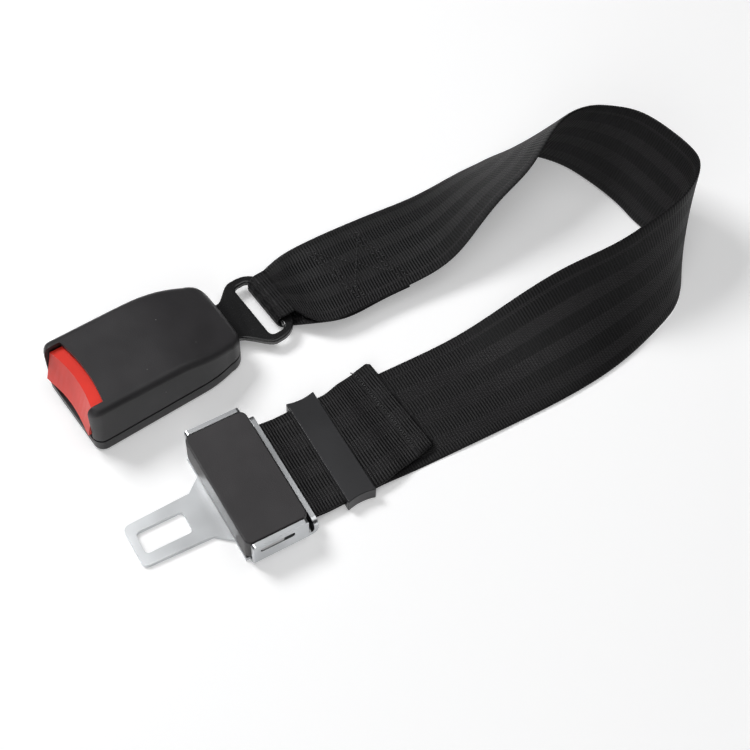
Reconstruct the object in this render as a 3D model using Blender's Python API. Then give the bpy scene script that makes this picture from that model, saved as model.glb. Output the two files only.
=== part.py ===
"""Seat belt extender: a buckle and a tongue joined by a loop of webbing that lies on a table.

Frame: the origin is the middle of the tongue frame's underside, +X runs from the tongue
along the strap, +Y points to the buckle's side, +Z is up. Lengths are in metres.
"""

import math

import bmesh
import bpy
import numpy as np
from mathutils import Matrix, Vector

MM = 0.001

# Clearances between neighbouring pieces
GAP = 0.3 * MM
SIDE_PLAY = 0.4 * MM

# Webbing
WEB_WIDTH = 48.0 * MM
WEB_THICKNESS = 1.2 * MM
WEB_STEP = 4.0 * MM
HEM_THICKNESS = 2.6 * MM
HEM_LENGTH = 8.5 * MM
TAIL_END_X = 75.1 * MM
TAIL_SKEW = math.radians(5.0)
TAIL_DRIFT = 5.9 * MM
TAIL_BEND_LENGTH = 12.0 * MM
STRAND_SAG = 1.6 * MM
BUNCHED_WIDTH = 22.4 * MM
FOLD_WIDTH = 25.0 * MM
FOLD_OFFSET = -0.3 * MM
FOLD_LENGTH = 4.0 * MM
RISE_LENGTH = 9.0 * MM
SEWN_ROWS = 4

# Tongue frame, stamped and bent from one sheet
SHEET = 2.0 * MM
BLADE_TIP_X = -50.0 * MM
BLADE_HALF_TIP = 10.0 * MM
BLADE_HALF_ROOT = 10.9 * MM
BLADE_ROOT_X = -20.3 * MM
TIP_RADIUS = 2.6 * MM
HOLE_WEB = 3.4 * MM
HOLE_LENGTH = 20.3 * MM
HOLE_WIDTH = 10.4 * MM
HOLE_RADIUS = 1.6 * MM
SHOULDER_HALF = 16.4 * MM
SHOULDER_CHAMFER = 0.8 * MM
FRONT_MARGIN = 0.2 * MM
EAR_HEIGHT = 15.3 * MM
EAR_LENGTH = 24.2 * MM
EAR_RADIUS = 4.0 * MM
EAR_CORNER = 1.6 * MM
LIP_HEIGHT = 8.4 * MM
LIP_RADIUS = 3.5 * MM
LIP_HALF = 28.3 * MM
LIP_CORNER = 3.0 * MM
RELIEF = 0.5 * MM

# Adjuster cover
COVER_LENGTH = 27.2 * MM
COVER_WIDTH = 55.1 * MM
COVER_TOP = 16.0 * MM
COVER_WALL = 1.6 * MM
COVER_CORNER = 3.0 * MM
COVER_EDGE = 0.8 * MM
COVER_REAR_OPENING = 3.0 * MM

# Lock bar that the webbing turns round
BAR_WIDTH = 10.0 * MM
BAR_THICKNESS = 2.0 * MM
BAR_FRONT_X = -8.5 * MM
BAR_Z = 11.0 * MM
BAR_TRAVEL = 4.0 * MM
BAR_TOOTH = 0.5 * MM
BAR_TEETH = 24

# Keeper that holds the tail down
KEEPER_X = 38.4 * MM
KEEPER_LENGTH = 12.8 * MM
KEEPER_WALL = 1.9 * MM
KEEPER_END_WALL = 0.9 * MM
KEEPER_HOLLOW = 1.0 * MM
KEEPER_SIDE_PLAY = 0.5 * MM
KEEPER_TRAVEL = 4.0 * MM

# Buckle casing, in the buckle's own frame: u from its middle to the rear, v across, z up
BUCKLE_X = -8.95 * MM
BUCKLE_Y = 70.2 * MM
BUCKLE_YAW = math.radians(5.83)
CASE_LENGTH = 73.4 * MM
CASE_WIDTH = 42.4 * MM
CASE_FRONT_HEIGHT = 29.3 * MM
CASE_FRONT_SLOPE = -0.05
CASE_REAR_SLOPE = -0.33
CASE_HUMP_U = 8.0 * MM
CASE_HUMP_BLEND = 2.5 * MM
CASE_CROWN = 0.5 * MM
CASE_EDGE = 3.2 * MM
CASE_WALL = 2.0 * MM
CASE_FRONT_CORNER = 4.5 * MM
CASE_REAR_CORNER = 8.0 * MM
CASE_TAPER_U = 14.0 * MM
CASE_TAPER = 2.2 * MM
CASE_BOTTOM_EDGE = 2.0 * MM
SEAM_Z = 7.3 * MM
SEAM_GROOVE = 0.6 * MM
RIB_WIDTH = 2.0 * MM
RIB_LENGTH = 8.0 * MM

# Release button
BUTTON_WIDTH = 33.4 * MM
BUTTON_TOP_SET_BACK = 2.4 * MM
BUTTON_TOP_HOLLOW = 2.4 * MM
BUTTON_FOOT_PROUD = 1.4 * MM
BUTTON_FOOT_HOLLOW = 1.2 * MM
BUTTON_WALL = 2.4 * MM
BUTTON_ROOF = 1.8 * MM
BUTTON_DROP = 0.8 * MM
BUTTON_ARCH = 1.6 * MM
BUTTON_TRAVEL = 5.0 * MM
BUTTON_CUT_DEPTH = 7.6 * MM
BUTTON_CUT_SAG = 1.8 * MM
BUTTON_HOOD = 5.0 * MM
LEG_HEIGHT = 5.2 * MM
LEG_PAST_PIN = 3.0 * MM

# Steel frame and anchor plate inside the buckle
MOUTH_HEIGHT = 4.5 * MM
FRAME_BASE_TOP = 6.0 * MM
FRAME_SHEET = 2.5 * MM
FRAME_WALL = 2.0 * MM
FRAME_INNER_HALF = 11.3 * MM
FRAME_FRONT_U = -28.0 * MM
FRAME_REAR_U = 31.5 * MM
FRAME_WALL_FRONT_U = -19.0 * MM
FRAME_WALL_REAR_U = 16.0 * MM
FRAME_WALL_TOP = 21.3 * MM
FRAME_WALL_REAR_TOP = 18.4 * MM
FRAME_WALL_CHAMFER = 3.0 * MM
ANCHOR_SHEET = 3.0 * MM
ANCHOR_FRONT_U = 16.0 * MM
NECK_HALF = 10.3 * MM
EYE_HALF = 18.6 * MM
EYE_OFFSET = -1.2 * MM
EYE_DROP = 2.3 * MM
EYE_DROP_U = 34.0 * MM
EYE_DROP_LENGTH = 8.0 * MM
EYE_REAR_RADIUS = 10.0 * MM
EYE_FLARE_U = 39.0 * MM
EYE_FLARE_LENGTH = 12.0 * MM
EYE_BAR = 6.0 * MM
EYE_BAR_U = 61.0 * MM
EYE_SLOT_LENGTH = 7.5 * MM
EYE_SLOT_HALF = 14.8 * MM
EYE_SLOT_RADIUS = 2.5 * MM
RIVET_FRONT_U = 20.8 * MM
RIVET_PITCH = 7.4 * MM
RIVET_RADIUS = 1.9 * MM
RIVET_HEAD_RADIUS = 3.3 * MM
RIVET_HEAD = 0.8 * MM

# Latch, lock pin and ejector
PIN_RADIUS = 1.25 * MM
LATCH_PIN_U = 12.0 * MM
LATCH_PIN_Z = 15.0 * MM
LATCH_SHEET = 2.0 * MM
LATCH_HALF = 8.0 * MM
LATCH_BARREL_RADIUS = 2.6 * MM
LATCH_TOOTH_U = -12.5 * MM
LATCH_TOOTH_LENGTH = 3.0 * MM
LATCH_TOOTH_HALF = 4.3 * MM
LOCK_PIN_U = -6.0 * MM
EJECTOR_FRONT_U = -17.0 * MM
EJECTOR_LENGTH = 12.5 * MM
EJECTOR_WEB = 3.0 * MM
EJECTOR_HALF = 8.0 * MM
EJECTOR_HEIGHT = 4.0 * MM
EJECTOR_PRONG = 2.8 * MM
EJECTOR_NOSE = 1.2 * MM
SPRING_RADIUS = 1.6 * MM
SPRING_WIRE = 0.3 * MM
BUTTON_SPRING_V = 8.0 * MM
BUTTON_SPRING_Z = 19.2 * MM
BUTTON_SPRING_REAR_U = -11.0 * MM
LATCH_SPRING_U = 4.5 * MM
COILS_PER_METRE = 500.0

# The webbing's free run as it lies on the table: places of its outer and its inner edge
FREE_RUN = (
    (60.0, -23.7, 1.1, 60.0, 24.3, 1.1),
    (88.0, -24.3, 0.8, 88.2, 23.7, 0.8),
    (114.3, -24.7, 0.8, 114.8, 23.3, 3.0),
    (138.3, -24.5, 0.9, 137.2, 21.8, 12.8),
    (167.9, -21.2, 1.0, 160.0, 15.1, 31.5),
    (192.7, -14.0, 1.0, 181.4, 9.3, 42.6),
    (206.5, -7.4, 0.8, 198.0, 10.4, 45.3),
    (216.0, 3.0, 0.8, 214.5, 13.4, 46.8),
    (221.0, 18.0, 0.7, 230.5, 23.0, 46.5),
    (217.1, 35.3, 0.7, 234.3, 33.5, 46.0),
    (215.7, 49.1, 0.7, 231.8, 48.0, 46.0),
    (213.3, 61.7, 0.7, 227.8, 58.5, 46.4),
    (209.9, 73.0, 0.7, 222.9, 65.5, 46.3),
    (205.5, 82.9, 0.7, 217.0, 71.5, 45.3),
    (196.0, 94.3, 0.7, 209.5, 77.2, 42.9),
    (188.0, 99.5, 0.7, 199.0, 77.3, 41.8),
    (180.5, 101.4, 0.7, 186.8, 72.3, 38.5),
    (172.0, 101.3, 0.7, 174.1, 66.1, 33.4),
    (162.0, 101.0, 0.7, 159.7, 62.1, 28.5),
    (151.0, 100.0, 0.7, 146.4, 57.9, 23.3),
    (136.0, 98.8, 0.9, 130.4, 53.1, 14.8),
    (112.5, 98.7, 2.1, 106.5, 51.8, 10.0),
    (98.3, 98.9, 2.3, 91.5, 51.9, 9.3),
    (80.3, 98.7, 2.3, 74.1, 51.5, 9.2),
    (66.5, 97.0, 2.5, 63.0, 55.0, 9.0),
)

# Places that follow from the sizes above
TONGUE_HALF_WIDTH = COVER_WIDTH / 2 + GAP + SHEET
EAR_BEND_Y = TONGUE_HALF_WIDTH - EAR_RADIUS
PLATE_FRONT_X = -COVER_LENGTH / 2 - FRONT_MARGIN
EAR_FRONT_X = -COVER_LENGTH / 2 + EAR_CORNER
EAR_REAR_X = EAR_FRONT_X + EAR_LENGTH
LIP_FLAT_X = EAR_REAR_X + RELIEF
LIP_BEND_X = COVER_LENGTH / 2 + GAP
LIP_INNER_X = LIP_BEND_X + LIP_RADIUS - SHEET
LIP_OUTER_X = LIP_BEND_X + LIP_RADIUS
BAR_REAR_X = BAR_FRONT_X + BAR_WIDTH
BAR_TURN_X = BAR_FRONT_X + BAR_THICKNESS / 2
STRAND_LEVEL_X = BAR_REAR_X + BAR_TRAVEL + 3 * GAP
BAR_MIDDLE_X = (BAR_TURN_X + STRAND_LEVEL_X) / 2
BAR_TURN_RADIUS = BAR_THICKNESS / 2 + GAP + WEB_THICKNESS / 2
STRAND_LOW_Z = SHEET + GAP * 3 + WEB_THICKNESS / 2
STRAND_HIGH_Z = STRAND_LOW_Z + WEB_THICKNESS + GAP
KEEPER_STRAND_Z = KEEPER_WALL + GAP + WEB_THICKNESS / 2
KEEPER_TAIL_Z = KEEPER_STRAND_Z + WEB_THICKNESS + GAP
KEEPER_SLOT_TOP = KEEPER_TAIL_Z + WEB_THICKNESS / 2 + GAP
TABLE_STRAND_Z = 0.1 * MM + WEB_THICKNESS / 2
BASE_LOW_Z = FRAME_BASE_TOP - FRAME_SHEET
ANCHOR_LOW_Z = FRAME_BASE_TOP + GAP
ANCHOR_TOP_Z = ANCHOR_LOW_Z + ANCHOR_SHEET
PIVOT_Z = ANCHOR_LOW_Z - EYE_DROP + ANCHOR_SHEET / 2
EYE_TURN_RADIUS = math.hypot(EYE_BAR, ANCHOR_SHEET) / 2 + GAP + WEB_THICKNESS / 2
FRAME_HALF = FRAME_INNER_HALF + FRAME_WALL
LEG_INNER_V = FRAME_HALF + SIDE_PLAY
BUTTON_FRONT_U = -CASE_LENGTH / 2 + BUTTON_TOP_SET_BACK
BUTTON_FOOT_U = -CASE_LENGTH / 2 - BUTTON_FOOT_PROUD
BUTTON_BOTTOM_Z = FRAME_BASE_TOP + MOUTH_HEIGHT
LATCH_TOP_Z = LATCH_PIN_Z + LATCH_SHEET / 2
LOCK_PIN_Z = LATCH_TOP_Z + GAP + PIN_RADIUS
LATCH_TOOTH_Z = ANCHOR_LOW_Z + EJECTOR_HEIGHT + 2 * GAP
EJECTOR_REAR_U = EJECTOR_FRONT_U + EJECTOR_LENGTH


def clear_scene():
    """Remove every object of the scene."""
    for thing in list(bpy.data.objects):
        bpy.data.objects.remove(thing, do_unlink=True)


def finish(name, colour, roughness, metallic=0.0):
    """Make a Principled material from a colour, a roughness and a metallic value."""
    material = bpy.data.materials.new(name)
    material.use_nodes = True
    shader = material.node_tree.nodes["Principled BSDF"]
    shader.inputs["Base Color"].default_value = (*colour, 1.0)
    shader.inputs["Roughness"].default_value = roughness
    shader.inputs["Metallic"].default_value = metallic
    return material


def object_from(name, points, faces):
    """Make an object from points and faces, with its faces turned outwards."""
    mesh = bpy.data.meshes.new(name)
    mesh.from_pydata([tuple(point) for point in points], [], faces)
    work = bmesh.new()
    work.from_mesh(mesh)
    bmesh.ops.remove_doubles(work, verts=work.verts, dist=0.001 * MM)
    bmesh.ops.recalc_face_normals(work, faces=work.faces)
    work.to_mesh(mesh)
    work.free()
    thing = bpy.data.objects.new(name, mesh)
    bpy.context.scene.collection.objects.link(thing)
    return thing


def loft(name, rings):
    """Join rings of equal length into a closed body with flat ends."""
    count = len(rings[0])
    points = [point for ring in rings for point in ring]
    faces = [tuple(range(count)), tuple(range(len(points) - count, len(points)))]
    for ring in range(len(rings) - 1):
        for i in range(count):
            j = (i + 1) % count
            low = ring * count
            faces.append((low + i, low + j, low + count + j, low + count + i))
    return object_from(name, points, faces)


def prism(name, outline, low, high, axis="Z"):
    """Extrude an outline of (a, b) points along an axis between two heights."""
    place = {
        "X": lambda a, b, h: (h, a, b),
        "Y": lambda a, b, h: (a, h, b),
        "Z": lambda a, b, h: (a, b, h),
    }[axis]
    return loft(name, [[place(a, b, h) for a, b in outline] for h in (low, high)])


def block(name, x_range, y_range, z_range):
    """Make a box from three ranges."""
    return prism(name, rectangle(x_range, y_range), *z_range)


def rectangle(x_range, y_range):
    """Outline of a plain rectangle."""
    (x0, x1), (y0, y1) = x_range, y_range
    return [(x0, y0), (x1, y0), (x1, y1), (x0, y1)]


def arc(centre, radius, start, end, steps=6):
    """Points on an arc about a centre, with its angles in degrees."""
    angles = np.radians(np.linspace(start, end, steps + 1))
    return [(centre[0] + radius * math.cos(a), centre[1] + radius * math.sin(a)) for a in angles]


def rounded_rectangle(x_range, y_range, radius, steps=5):
    """Outline of a rectangle with four round corners."""
    (x0, x1), (y0, y1) = x_range, y_range
    r = min(radius, 0.49 * (x1 - x0), 0.49 * (y1 - y0))
    return (
        arc((x1 - r, y1 - r), r, 0, 90, steps)
        + arc((x0 + r, y1 - r), r, 90, 180, steps)
        + arc((x0 + r, y0 + r), r, 180, 270, steps)
        + arc((x1 - r, y0 + r), r, 270, 360, steps)
    )


def disc(centre, radius, steps=20):
    """Outline of a circle."""
    return arc(centre, radius, 0, 360 * (steps - 1) / steps, steps - 1)


def apply_modifiers(thing):
    """Turn an object's modifiers into plain mesh."""
    bpy.context.view_layer.update()
    graph = bpy.context.evaluated_depsgraph_get()
    mesh = bpy.data.meshes.new_from_object(thing.evaluated_get(graph))
    thing.modifiers.clear()
    old = thing.data
    thing.data = mesh
    bpy.data.meshes.remove(old)


def combine(base, others, operation):
    """Boolean the other bodies into the base one after another, and remove them."""
    for other in others:
        modifier = base.modifiers.new(operation.lower(), "BOOLEAN")
        modifier.operation = operation
        modifier.solver = "EXACT"
        modifier.object = other
        apply_modifiers(base)
        bpy.data.objects.remove(other, do_unlink=True)
    return base


def cut(base, *cutters):
    """Subtract bodies from the base."""
    return combine(base, cutters, "DIFFERENCE")


def fuse(base, *others):
    """Join bodies to the base."""
    return combine(base, others, "UNION")


def keep(base, *others):
    """Keep what the base shares with the other bodies."""
    return combine(base, others, "INTERSECT")


def round_edges(thing, width, degrees=40.0, segments=2):
    """Round the sharp edges of a body."""
    modifier = thing.modifiers.new("edges", "BEVEL")
    modifier.width = width
    modifier.segments = segments
    modifier.limit_method = "ANGLE"
    modifier.angle_limit = math.radians(degrees)
    modifier.use_clamp_overlap = True
    apply_modifiers(thing)
    return thing


def shade(thing, material, degrees=35.0):
    """Shade the round faces smooth and give the body its material."""
    mesh = thing.data
    mesh.materials.clear()
    mesh.materials.append(material)
    mesh.shade_smooth()
    mesh.set_sharp_from_angle(angle=math.radians(degrees))
    return thing


def hang(thing, parent, parent_place, origin=(0.0, 0.0, 0.0)):
    """Parent a body whose mesh is in the parent's construction frame, with its own origin."""
    shift = Vector(origin)
    thing.data.transform(Matrix.Translation(-shift))
    thing.parent = parent
    thing.location = shift - Vector(parent_place)
    return thing


def set_origin(thing, origin):
    """Move an object's origin without moving its mesh."""
    shift = Vector(origin)
    thing.data.transform(Matrix.Translation(-shift))
    thing.location = shift
    return thing


def bent_flange(name, bend, radius, height, flat, low, high, axis):
    """Extrude the section of a sheet that is flat, turns up through a quarter and stands.

    The section starts a flat length before the bend and reaches the height above the table.
    """
    inner = radius - SHEET
    outline = [(bend - flat, 0.0)]
    outline += arc((bend, radius), radius, 270, 360)
    outline += [(bend + radius, height), (bend + inner, height)]
    outline += arc((bend, radius), inner, 360, 270)
    outline += [(bend - flat, SHEET)]
    return prism(name, outline, low, high, axis)


def mirrored_y(thing):
    """Copy a body to the other side of the XZ plane."""
    copy = bpy.data.objects.new(thing.name + "_copy", thing.data.copy())
    bpy.context.scene.collection.objects.link(copy)
    copy.data.transform(Matrix.Scale(-1.0, 4, Vector((0, 1, 0))))
    copy.data.flip_normals()
    return copy


def tongue_outline():
    """Flat outline of the blade, its shoulders and the base plate."""
    r = TIP_RADIUS
    side = arc((BLADE_TIP_X + r, BLADE_HALF_TIP - r), r, 180, 90, 4)
    side += [
        (BLADE_ROOT_X, BLADE_HALF_ROOT),
        (PLATE_FRONT_X - SHOULDER_CHAMFER, SHOULDER_HALF - SHOULDER_CHAMFER),
        (PLATE_FRONT_X, SHOULDER_HALF),
        (PLATE_FRONT_X, EAR_BEND_Y),
        (LIP_FLAT_X, EAR_BEND_Y),
        (LIP_FLAT_X, LIP_HALF),
        (LIP_BEND_X, LIP_HALF),
    ]
    return side + [(x, -y) for x, y in reversed(side)]


def build_tongue_frame(material):
    """Blade with its hole, base plate, two slotted ears and the rear lip that the webbing enters."""
    frame = prism("tongue_frame", tongue_outline(), 0.0, SHEET)
    hole_x = BLADE_TIP_X + HOLE_WEB
    hole = rounded_rectangle(
        (hole_x, hole_x + HOLE_LENGTH), (-HOLE_WIDTH / 2, HOLE_WIDTH / 2), HOLE_RADIUS, 3
    )
    cut(frame, prism("hole", hole, -SHEET, 2 * SHEET))

    ear = bent_flange("ear", EAR_BEND_Y, EAR_RADIUS, EAR_HEIGHT, SHEET, EAR_FRONT_X, EAR_REAR_X, "X")
    ear_side = rounded_rectangle(
        (EAR_FRONT_X - GAP, EAR_REAR_X + GAP), (-EAR_HEIGHT, EAR_HEIGHT), EAR_CORNER
    )
    keep(ear, prism("ear_side", ear_side, 0.0, 2 * TONGUE_HALF_WIDTH, "Y"))
    slot = rounded_rectangle(
        (BAR_FRONT_X - GAP, BAR_REAR_X + BAR_TRAVEL + 2 * GAP),
        (BAR_Z - BAR_THICKNESS / 2 - GAP, BAR_Z + BAR_THICKNESS / 2 + GAP),
        BAR_THICKNESS / 2,
    )
    cut(ear, prism("ear_slot", slot, EAR_BEND_Y, 2 * TONGUE_HALF_WIDTH, "Y"))
    fuse(frame, mirrored_y(ear), ear)

    lip = bent_flange("lip", LIP_BEND_X, LIP_RADIUS, LIP_HEIGHT, SHEET / 2, -LIP_HALF, LIP_HALF, "Y")
    lip_front = rounded_rectangle((-LIP_HALF, LIP_HALF), (-LIP_HEIGHT, LIP_HEIGHT), LIP_CORNER)
    keep(lip, prism("lip_front", lip_front, 0.0, 2 * LIP_OUTER_X, "X"))
    half = WEB_WIDTH / 2 + 2 * SIDE_PLAY
    lip_slot = rounded_rectangle(
        (-half, half),
        (STRAND_LOW_Z - WEB_THICKNESS / 2 - GAP, STRAND_HIGH_Z + WEB_THICKNESS / 2 + GAP),
        SHEET / 2,
    )
    fuse(frame, lip)
    cut(frame, prism("lip_slot", lip_slot, LIP_BEND_X - GAP, 2 * LIP_OUTER_X, "X"))
    return shade(frame, material, 30.0)


def build_adjuster_cover(material):
    """Thin cap that stands on the base plate between the ears and hides the lock bar."""
    half_x, half_y = COVER_LENGTH / 2, COVER_WIDTH / 2
    low = SHEET + GAP
    outer = rounded_rectangle((-half_x, half_x), (-half_y, half_y), COVER_CORNER)
    cover = prism("adjuster_cover", outer, low, COVER_TOP)
    round_edges(cover, COVER_EDGE, 60.0)
    inner = rounded_rectangle(
        (-half_x + COVER_WALL, half_x - COVER_WALL),
        (-half_y + COVER_WALL, half_y - COVER_WALL),
        COVER_CORNER - COVER_WALL,
    )
    cut(cover, prism("inside", inner, 0.0, COVER_TOP - COVER_WALL))
    strand_top = STRAND_HIGH_Z + WEB_THICKNESS / 2 + 2 * GAP
    bend_top = EAR_RADIUS + GAP
    sides = block("side_relief", (-2 * half_x, 2 * half_x), (EAR_BEND_Y - GAP, 2 * half_y), (0.0, bend_top))
    bar_notch_x = (BAR_FRONT_X - 2 * GAP, BAR_REAR_X + BAR_TRAVEL + 3 * GAP)
    notch_top = BAR_Z + BAR_THICKNESS / 2 + 2 * GAP
    notch = block("bar_notch", bar_notch_x, (half_y - 2 * COVER_WALL, 2 * half_y), (0.0, notch_top))
    rear_x = (half_x - 2 * COVER_WALL, 2 * half_x)
    rear = block("rear_relief", rear_x, (-half_y, half_y), (0.0, strand_top + COVER_REAR_OPENING))
    cut(cover, mirrored_y(sides), sides, mirrored_y(notch), notch, rear)
    return shade(cover, material)


def build_lock_bar(material):
    """Flat bar with a round front edge and fine teeth along its rear edge."""
    half_y = TONGUE_HALF_WIDTH - GAP
    radius = BAR_THICKNESS / 2
    section = arc((BAR_TURN_X, BAR_Z), radius, 90, 270, 8)
    section += [(BAR_REAR_X, BAR_Z - radius), (BAR_REAR_X, BAR_Z + radius)]
    bar = prism("lock_bar", section, -half_y, half_y, "Y")
    pitch = WEB_WIDTH / BAR_TEETH
    teeth = []
    for i in range(BAR_TEETH):
        y = -WEB_WIDTH / 2 + pitch * (i + 0.5)
        gullet = [
            (BAR_REAR_X + radius, y - pitch / 2),
            (BAR_REAR_X + radius, y + pitch / 2),
            (BAR_REAR_X - BAR_TOOTH, y),
        ]
        teeth.append(prism("gullet", gullet, BAR_Z - 2 * radius, BAR_Z + 2 * radius))
    cut(bar, *teeth)
    shade(bar, material)
    return set_origin(bar, (BAR_TURN_X, 0.0, BAR_Z))


def build_keeper(material):
    """Flat plastic ring round both layers, with hollowed ends for the fingers."""
    slot_half = WEB_WIDTH / 2 + KEEPER_SIDE_PLAY
    half_y = slot_half + KEEPER_END_WALL + KEEPER_HOLLOW
    half_x = KEEPER_LENGTH / 2
    top = KEEPER_SLOT_TOP + KEEPER_WALL
    sag_radius = (half_x**2 + KEEPER_HOLLOW**2) / (2 * KEEPER_HOLLOW)
    spread = math.degrees(math.asin(half_x / sag_radius))
    centre_y = half_y - KEEPER_HOLLOW + sag_radius
    far_end = [(KEEPER_X + x, y) for x, y in arc((0.0, centre_y), sag_radius, 270 + spread, 270 - spread, 8)]
    near_end = [(x, -y) for x, y in reversed(far_end)]
    keeper = prism("keeper", far_end + near_end, 0.0, top)
    round_edges(keeper, KEEPER_END_WALL / 2, 30.0)
    slot = rounded_rectangle((-slot_half, slot_half), (KEEPER_WALL, KEEPER_SLOT_TOP), KEEPER_WALL / 2)
    cut(keeper, prism("slot", slot, KEEPER_X - KEEPER_LENGTH, KEEPER_X + KEEPER_LENGTH, "X"))
    shade(keeper, material)
    return set_origin(keeper, (KEEPER_X, 0.0, top / 2))


def cubic_through(points, step):
    """Natural cubic curve through points, by distance along them, sampled about every step."""
    points = np.asarray(points, float)
    spans = np.linalg.norm(np.diff(points[:, :3], axis=0), axis=1)
    knots = np.concatenate([[0.0], np.cumsum(spans)])
    count = len(points)
    system = np.eye(count)
    right = np.zeros_like(points)
    for i in range(1, count - 1):
        system[i, i - 1 : i + 2] = (spans[i - 1], 2 * (spans[i - 1] + spans[i]), spans[i])
        after = (points[i + 1] - points[i]) / spans[i]
        before = (points[i] - points[i - 1]) / spans[i - 1]
        right[i] = 6 * (after - before)
    bend = np.linalg.solve(system, right)
    samples = max(2, int(round(knots[-1] / step)) + 1)
    s = np.linspace(0.0, knots[-1], samples)
    i = np.clip(np.searchsorted(knots, s, side="right") - 1, 0, count - 2)
    h = spans[i][:, None]
    a = (knots[i + 1] - s)[:, None] / h
    b = (s - knots[i])[:, None] / h
    curve = ((a**3 - a) * bend[i] + (b**3 - b) * bend[i + 1]) * h**2 / 6
    return a * points[i] + b * points[i + 1] + curve


def buckle_point(u, v, z):
    """Turn a place in the buckle's frame into the part's frame."""
    c, s = math.cos(BUCKLE_YAW), math.sin(BUCKLE_YAW)
    return np.array([BUCKLE_X + u * c - v * s, BUCKLE_Y + u * s + v * c, z])


def turn_points(u, z, radius, start, end, steps=12):
    """Points of an arc in an upright plane, as (u, z) pairs."""
    return np.array(arc((u, z), radius, start, end, steps))


def edge_rows(rows):
    """Turn places of the outer and inner edge into middles and half widths."""
    rows = np.asarray(rows) * MM
    outer, inner = rows[:, :3], rows[:, 3:]
    return np.hstack([(outer + inner) / 2, (inner - outer) / 2])


def with_half(places, half):
    """Give each place of a row the same half width."""
    places = np.asarray(places)
    return np.hstack([places, np.tile(half, (len(places), 1))])


def tail_rows():
    """Rows of the folded tail and of the strand from the keeper to the lock bar."""
    hem_z = TABLE_STRAND_Z + WEB_THICKNESS / 2 + GAP + HEM_THICKNESS / 2
    hem_x = TAIL_END_X - HEM_LENGTH
    tail_z = TABLE_STRAND_Z + WEB_THICKNESS * 5 / 4 + GAP
    keeper_rear = KEEPER_X + KEEPER_LENGTH / 2
    keeper_front = KEEPER_X - KEEPER_LENGTH / 2
    free_x = keeper_rear + KEEPER_TRAVEL
    bend_x = keeper_rear + TAIL_BEND_LENGTH
    slope = TAIL_DRIFT / (TAIL_END_X - free_x)
    hem = [(TAIL_END_X, TAIL_DRIFT, hem_z), (hem_x + MM, slope * (hem_x + MM - free_x), hem_z)]
    entry = [
        (hem_x - MM, slope * (hem_x - MM - free_x), tail_z),
        (bend_x, slope * (bend_x - free_x), KEEPER_TAIL_Z),
        (free_x, 0.0, KEEPER_TAIL_Z),
        (keeper_rear, 0.0, KEEPER_TAIL_Z),
        (KEEPER_X, 0.0, KEEPER_TAIL_Z),
        (keeper_front, 0.0, KEEPER_TAIL_Z),
        (keeper_front - RISE_LENGTH, 0.0, KEEPER_TAIL_Z),
        (LIP_OUTER_X, 0.0, STRAND_HIGH_Z),
        (LIP_BEND_X, 0.0, STRAND_HIGH_Z),
        (STRAND_LEVEL_X, 0.0, BAR_Z + BAR_TURN_RADIUS),
        (BAR_MIDDLE_X, 0.0, BAR_Z + BAR_TURN_RADIUS),
        (BAR_TURN_X, 0.0, BAR_Z + BAR_TURN_RADIUS),
    ]
    places = np.vstack([hem, cubic_through(entry, WEB_STEP)])
    skew = TAIL_SKEW * np.clip((places[:, 0] - KEEPER_X) / (hem_x - KEEPER_X), 0.0, 1.0)
    half = np.column_stack([-np.sin(skew), np.cos(skew), np.zeros(len(skew))]) * WEB_WIDTH / 2
    return np.hstack([places, half]), len(hem)


def eye_rows():
    """Rows of the fold round the eye's bar, bunched in the slot and wider above and below it."""
    side = np.array([math.sin(BUCKLE_YAW), -math.cos(BUCKLE_YAW), 0.0])
    rows = []
    top = (EYE_BAR_U + FOLD_LENGTH, PIVOT_Z + EYE_TURN_RADIUS)
    for u, z in [top, *turn_points(EYE_BAR_U, PIVOT_Z, EYE_TURN_RADIUS, 90, 270)]:
        spread = ((z - PIVOT_Z) / EYE_TURN_RADIUS) ** 2
        width = BUNCHED_WIDTH + (FOLD_WIDTH - BUNCHED_WIDTH) * spread
        rows.append(np.concatenate([buckle_point(u, FOLD_OFFSET * spread, z), side * width / 2]))
    return np.array(rows)


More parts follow.
